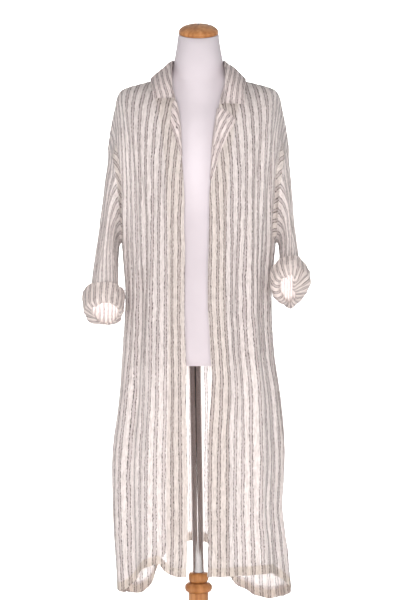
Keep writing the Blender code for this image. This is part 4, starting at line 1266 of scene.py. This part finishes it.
def sleeve_surface(side):
    """A sleeve from its armhole to where it is rolled up."""
    turns = np.linspace(-180, 180, SLEEVE_COLUMNS)
    downs = np.linspace(0, 1, SLEEVE_ROWS)
    down, turn = np.meshgrid(downs, turns, indexing="ij")
    half = np.abs(turn)
    sign = np.where(turn >= 0, -1, 1)
    start = armhole(side, turn)
    leave = stack(side * read(SLEEVE_LEAVE, half, "out"), sign * read(SLEEVE_LEAVE, half, "forward"),
                  -read(SLEEVE_LEAVE, half, "drop"))
    end = sleeve_end(side, turn)
    arrive = -roll_axis(side) * read(SLEEVE_LEAVE, half, "rise")[..., None]
    points = bezier(start, start + leave, end + arrive, end, down)
    centre = points.mean(axis=1, keepdims=True)
    out = normals(points, centre, tube=True)
    u = turn / 360 * SLEEVE_CLOTH
    v = down * SLEEVE_LENGTH
    push = np.zeros_like(turn)
    for fold in SLEEVE_FOLDS:
        apart = turn_apart(turn, fold.share + fold.lean * down)
        push += fold.depth * bump(apart, fold.width) * fade(down, fold.low, fold.high, SLEEVE_FOLD_EASE)
    for bend in SLEEVE_BENDS:
        share = (down - bend.down) / (bend.to_down - bend.down)
        middle = bend.turn + (bend.to_turn - bend.turn) * share
        taper = ease(share / CREASE_TAPER) * ease((1 - share) / CREASE_TAPER)
        push += bend.depth * bump(turn_apart(turn, -side * middle), bend.width) * taper
    wrapped = np.cos(np.radians(turn)) * 0.07
    push += ripples(SMALL_FOLDS, wrapped + np.sin(np.radians(turn)) * 0.05 + side, v) * 0.8
    push += ripples(CRINKLES, u + side, v)
    calm = ease(down / 0.06) * (0.35 + 0.65 * ease((1 - down) / 0.12))
    seam_calm = 0.3 + 0.7 * ease((180 - half) / 12)
    points = points + out * (push * calm * seam_calm)[..., None]
    return Surface(turn, down, points, normals(points, centre, tube=True), u, v)


def build_sleeves():
    for side, name in SIDES:
        surface = sleeve_surface(side)
        piece = cloth_piece(f"coat_sleeve_{name}", f"sleeve_{name}", surface.points, surface.out,
                            surface.u + BAND_MIDDLE * REPEAT, surface.v, np.zeros_like(surface.u), SLEEVE_WITH_PAINTED_LIGHT)
        build_turn_up(side, name, surface)


def build_turn_up(side, name, sleeve):
    """A rolled-up sleeve end: round the fold and back up outside the sleeve."""
    shape = TURN_UP[side]
    turn = sleeve.share[0]
    half_turn = np.radians(turn)
    middle = (shape.height_front + shape.height_back) / 2
    height = middle + (shape.height_front - shape.height_back) / 2 * np.sin(half_turn)
    height = height + 0.004 * noise(turn, turn * 0, 38.0, 1.0, 81 + side)
    rows = []
    across = []
    inward = np.zeros_like(turn)
    for bulge in ROLL_BULGES[side]:
        inward += bulge.depth * bump(turn_apart(turn, bulge.turn), bulge.width)
    for angle in np.linspace(0, math.pi, ROLL_STEPS):
        radial = shape.roll * (1 - math.cos(angle)) - inward * math.sin(angle)
        axial = (shape.roll * ROLL_FULLNESS + inward * BULGE_FULLNESS) * math.sin(angle)
        rows.append(sleeve_end(side, turn, radial, axial))
        across.append(np.full_like(turn, shape.roll * angle))
    for share in np.linspace(0, 1, 27)[1:]:
        radial = shape.roll * 2 + shape.flare * share
        radial += TURN_UP_BOW * math.sin(math.pi * min(share * 1.15, 1.0))
        rows.append(sleeve_end(side, turn, radial, -share * height))
        across.append(shape.roll * math.pi + height * share)
    points = np.stack(rows)
    v = np.stack(across)
    u = np.broadcast_to(turn / 360 * SLEEVE_CLOTH, v.shape)
    middle_of_roll = points[:ROLL_STEPS].mean(axis=(0, 1))
    out = normals(points, middle_of_roll, tube=True)
    lean = np.broadcast_to(turn, v.shape) + v * 900 * side
    radians = np.radians(lean)
    wave_u = np.cos(radians) * 0.05
    wave_v = np.sin(radians) * 0.05
    push = 0.0034 * noise(wave_u, wave_v, 0.018, 0.018, 83 + side)
    push += 0.0016 * noise(wave_u, wave_v + v, 0.008, 0.010, 85 + side)
    calm = ease(v / 0.006)
    points = points + out * (push * calm)[..., None]
    middle_of_roll = points[:ROLL_STEPS].mean(axis=(0, 1))
    piece = cloth_piece(f"coat_turnup_{name}", f"turnup_{name}", points,
                        normals(points, middle_of_roll, tube=True),
                        u + BAND_MIDDLE * REPEAT, v + SLEEVE_LENGTH, ROLLED_UP, ROLLED)


def build_belt_loop():
    """Thread loop that stands off the right side seam."""
    reach = float(read(BODY, LOOP_HEIGHT, "right")) + 0.0012
    curve = bpy.data.curves.new("coat_belt_loop", "CURVE")
    curve.dimensions = "3D"
    curve.bevel_depth = LOOP_THREAD / 2
    curve.bevel_resolution = 4
    curve.use_fill_caps = True
    spline = curve.splines.new("POLY")
    steps = 24
    spline.points.add(steps)
    for n in range(steps + 1):
        angle = math.pi * n / steps
        x = reach + LOOP_REACH * math.sin(angle)
        z = LOOP_HEIGHT - LOOP_SPAN / 2 * math.cos(angle)
        spline.points[n].co = (x, SHOULDER_Y, z, 1.0)
    curve.materials.append(THREAD)
    new_piece("coat_belt_loop", curve, "belt_loop")


# Dress form and stand

def form_ring(row, height, turns=112):
    """One ring of the dress form at a height."""
    power = 2 / row.squareness
    angle = np.linspace(0, 2 * math.pi, turns, endpoint=False)
    c = np.cos(angle)
    s = np.sin(angle)
    x = row.reach * np.sign(c) * np.abs(c) ** power
    y = np.where(s > 0, row.back, row.front) * np.sign(s) * np.abs(s) ** power
    y += read(SWELL, height, "depth") * bump(x, SWELL_WIDTH) * s
    return stack(x, y + SHOULDER_Y, height)


def build_form():
    rings = [form_ring(row, row.height) for row in TORSO]
    top = form_ring(NECK_END, NECK_TOP)
    top[:, 2] += (top[:, 1] - SHOULDER_Y) * math.tan(NECK_TILT)
    rings.append(top)
    rings = soften(refine(np.stack(rings), FORM_RINGS), FORM_SOFTENING)
    solid_piece("form_torso", "torso", rings[:, ::-1], SKIN)
    profile = [(CAP_RADIUS * math.cos(angle), CAP_THICK + CAP_DOME * math.sin(angle))
               for angle in np.radians(np.linspace(88, 4, 20))]
    profile += [(CAP_RADIUS, CAP_THICK - 0.0006), (CAP_RADIUS - 0.0008, CAP_THICK - 0.0014)]
    profile += [(CAP_RADIUS, CAP_THICK - 0.0022), (CAP_RADIUS, 0.0016), (CAP_RADIUS - 0.0012, 0.0004)]
    cap = revolve("form_neck_cap", "neck_cap", profile, 72, WOOD)
    plug_profile = [(0.0012, 0.0020), (0.0024, 0.0017), (0.0032, 0.0010), (0.0035, 0.0)]
    plug = revolve("form_cap_plug", "cap_plug", plug_profile, 32, STEEL)
    for piece, lift in ((cap, SEAM), (plug, CAP_THICK + CAP_DOME + SEAM)):
        piece.rotation_euler = (NECK_TILT, 0, 0)
        piece.location = (0, SHOULDER_Y - math.sin(NECK_TILT) * lift, NECK_TOP + math.cos(NECK_TILT) * lift)


def bead(row):
    """Profile of one turned bead."""
    middle = (row.top + row.bottom) / 2
    half = (row.top - row.bottom) / 2
    return [(row.neck + (row.widest - row.neck) * math.sin(angle), middle + half * math.cos(angle))
            for angle in np.linspace(0, math.pi, BEAD_STEPS)]


def build_stand():
    end = POLE_RADIUS - POLE_BEVEL
    pole = [
        (end, POLE_TOP), (POLE_RADIUS, POLE_TOP - POLE_BEVEL_HIGH),
        (POLE_RADIUS, POLE_BOTTOM + POLE_BEVEL_HIGH), (end, POLE_BOTTOM),
    ]
    tube = revolve("stand_pole", "pole", pole, 64, STEEL)
    for vertex in tube.data.vertices:
        vertex.co.x -= POLE_LEAN * (vertex.co.z - HUB_TOP)
    hub = [(HUB_MOUTH, HUB_TOP)]
    for row in HUB_BEADS:
        hub += bead(row)
    hub += HUB_STEM
    hub += refine(np.array(HUB_FLARE)[:, None], HUB_FLARE_RINGS)[:, 0].tolist()
    hub += [(HUB_FOOT, FOOT_THICK + 0.002), (HUB_FOOT, FOOT_THICK + SEAM)]
    revolve("stand_hub", "hub", hub, 72, WOOD)
    groove = FOOT_THICK - GROOVE
    foot = [(0.058, FOOT_THICK), (0.150, FOOT_THICK), (0.1512, groove), (0.1530, groove)]
    foot.append((0.1545, FOOT_THICK))
    for angle in np.radians(range(90, -1, -10)):
        foot.append((FOOT_RADIUS - FOOT_EDGE + FOOT_EDGE * math.cos(angle),
                     FOOT_THICK - FOOT_EDGE + FOOT_EDGE * math.sin(angle)))
    foot += [(FOOT_RADIUS, 0.002), (FOOT_RADIUS - 0.002, 0.0)]
    revolve("stand_foot", "foot", foot, 96, WOOD)


# Studio

def backdrop():
    """Pale floor that curves up into a backdrop."""
    made = Finish("studio_white")
    made.set(Roughness=0.9, Base_Color=(0.95, 0.95, 0.95, 1.0), Specular_IOR_Level=0.0)
    rows = [(-3.0, 0.0), (SWEEP_START, 0.0)]
    for n in range(1, 13):
        angle = math.pi / 2 * n / 12
        rows.append((SWEEP_START + SWEEP_BEND * math.sin(angle), SWEEP_BEND * (1 - math.cos(angle))))
    rows.append((SWEEP_START + SWEEP_BEND, 4.4))
    points = [(x, y, z) for y, z in rows for x in (-4.0, 4.0)]
    faces = [(2 * r, 2 * r + 1, 2 * r + 3, 2 * r + 2) for r in range(len(rows) - 1)]
    mesh = bpy.data.meshes.new("studio_sweep")
    mesh.from_pydata(points, [], faces)
    mesh.materials.append(made.material)
    mesh.shade_smooth()
    in_scene("studio_sweep", mesh)


def area_light(light):
    """Soft rectangular light that faces a point and isn't mirrored in the steel."""
    data = bpy.data.lights.new(light.name, "AREA")
    data.spread = math.radians(light.spread)
    data.shape = "RECTANGLE"
    data.size = light.wide
    data.size_y = light.high
    data.energy = light.power
    made = in_scene(light.name, data)
    made.location = light.place
    direction = Vector(light.aim) - Vector(light.place)
    made.rotation_euler = direction.to_track_quat("-Z", "Y").to_euler()
    made.visible_glossy = False


def studio_world():
    """White surroundings, darker straight behind the camera."""
    world = bpy.data.worlds.new("studio_world")
    world.use_nodes = True
    tree = world.node_tree
    background = tree.nodes["Background"]
    place = tree.nodes.new("ShaderNodeTexCoord")
    parts = tree.nodes.new("ShaderNodeSeparateXYZ")
    ramp = tree.nodes.new("ShaderNodeValToRGB")
    tree.links.new(place.outputs["Generated"], parts.inputs[0])
    turned = tree.nodes.new("ShaderNodeMath")
    turned.operation = "MULTIPLY"
    turned.inputs[1].default_value = -1.0
    tree.links.new(parts.outputs[1], turned.inputs[0])
    tree.links.new(turned.outputs[0], ramp.inputs["Fac"])
    ramp.color_ramp.elements[0].position = 0.93
    ramp.color_ramp.elements[0].color = (1.0, 1.0, 1.0, 1.0)
    ramp.color_ramp.elements[1].position = 0.965
    ramp.color_ramp.elements[1].color = (0.03, 0.03, 0.03, 1.0)
    tree.links.new(ramp.outputs["Color"], background.inputs["Color"])
    background.inputs["Strength"].default_value = WORLD_STRENGTH
    bpy.context.scene.world = world


def studio():
    backdrop()
    studio_world()
    for light in LIGHTS:
        area_light(light)
    camera = bpy.data.cameras.new("camera")
    camera.sensor_fit = "VERTICAL"
    camera.sensor_height = 24.0
    camera.lens = CAMERA_LENS
    holder = in_scene("camera", camera)
    holder.location = (CAMERA_X, -CAMERA_AWAY, CAMERA_Z)
    holder.rotation_euler = (math.pi / 2, 0, 0)
    bpy.context.scene.camera = holder
    bpy.context.scene.view_settings.view_transform = "Standard"


FRONTS = build_fronts()
BACK = build_back()
build_collar(FRONTS, BACK)
build_sleeves()
build_belt_loop()
build_form()
build_stand()
studio()
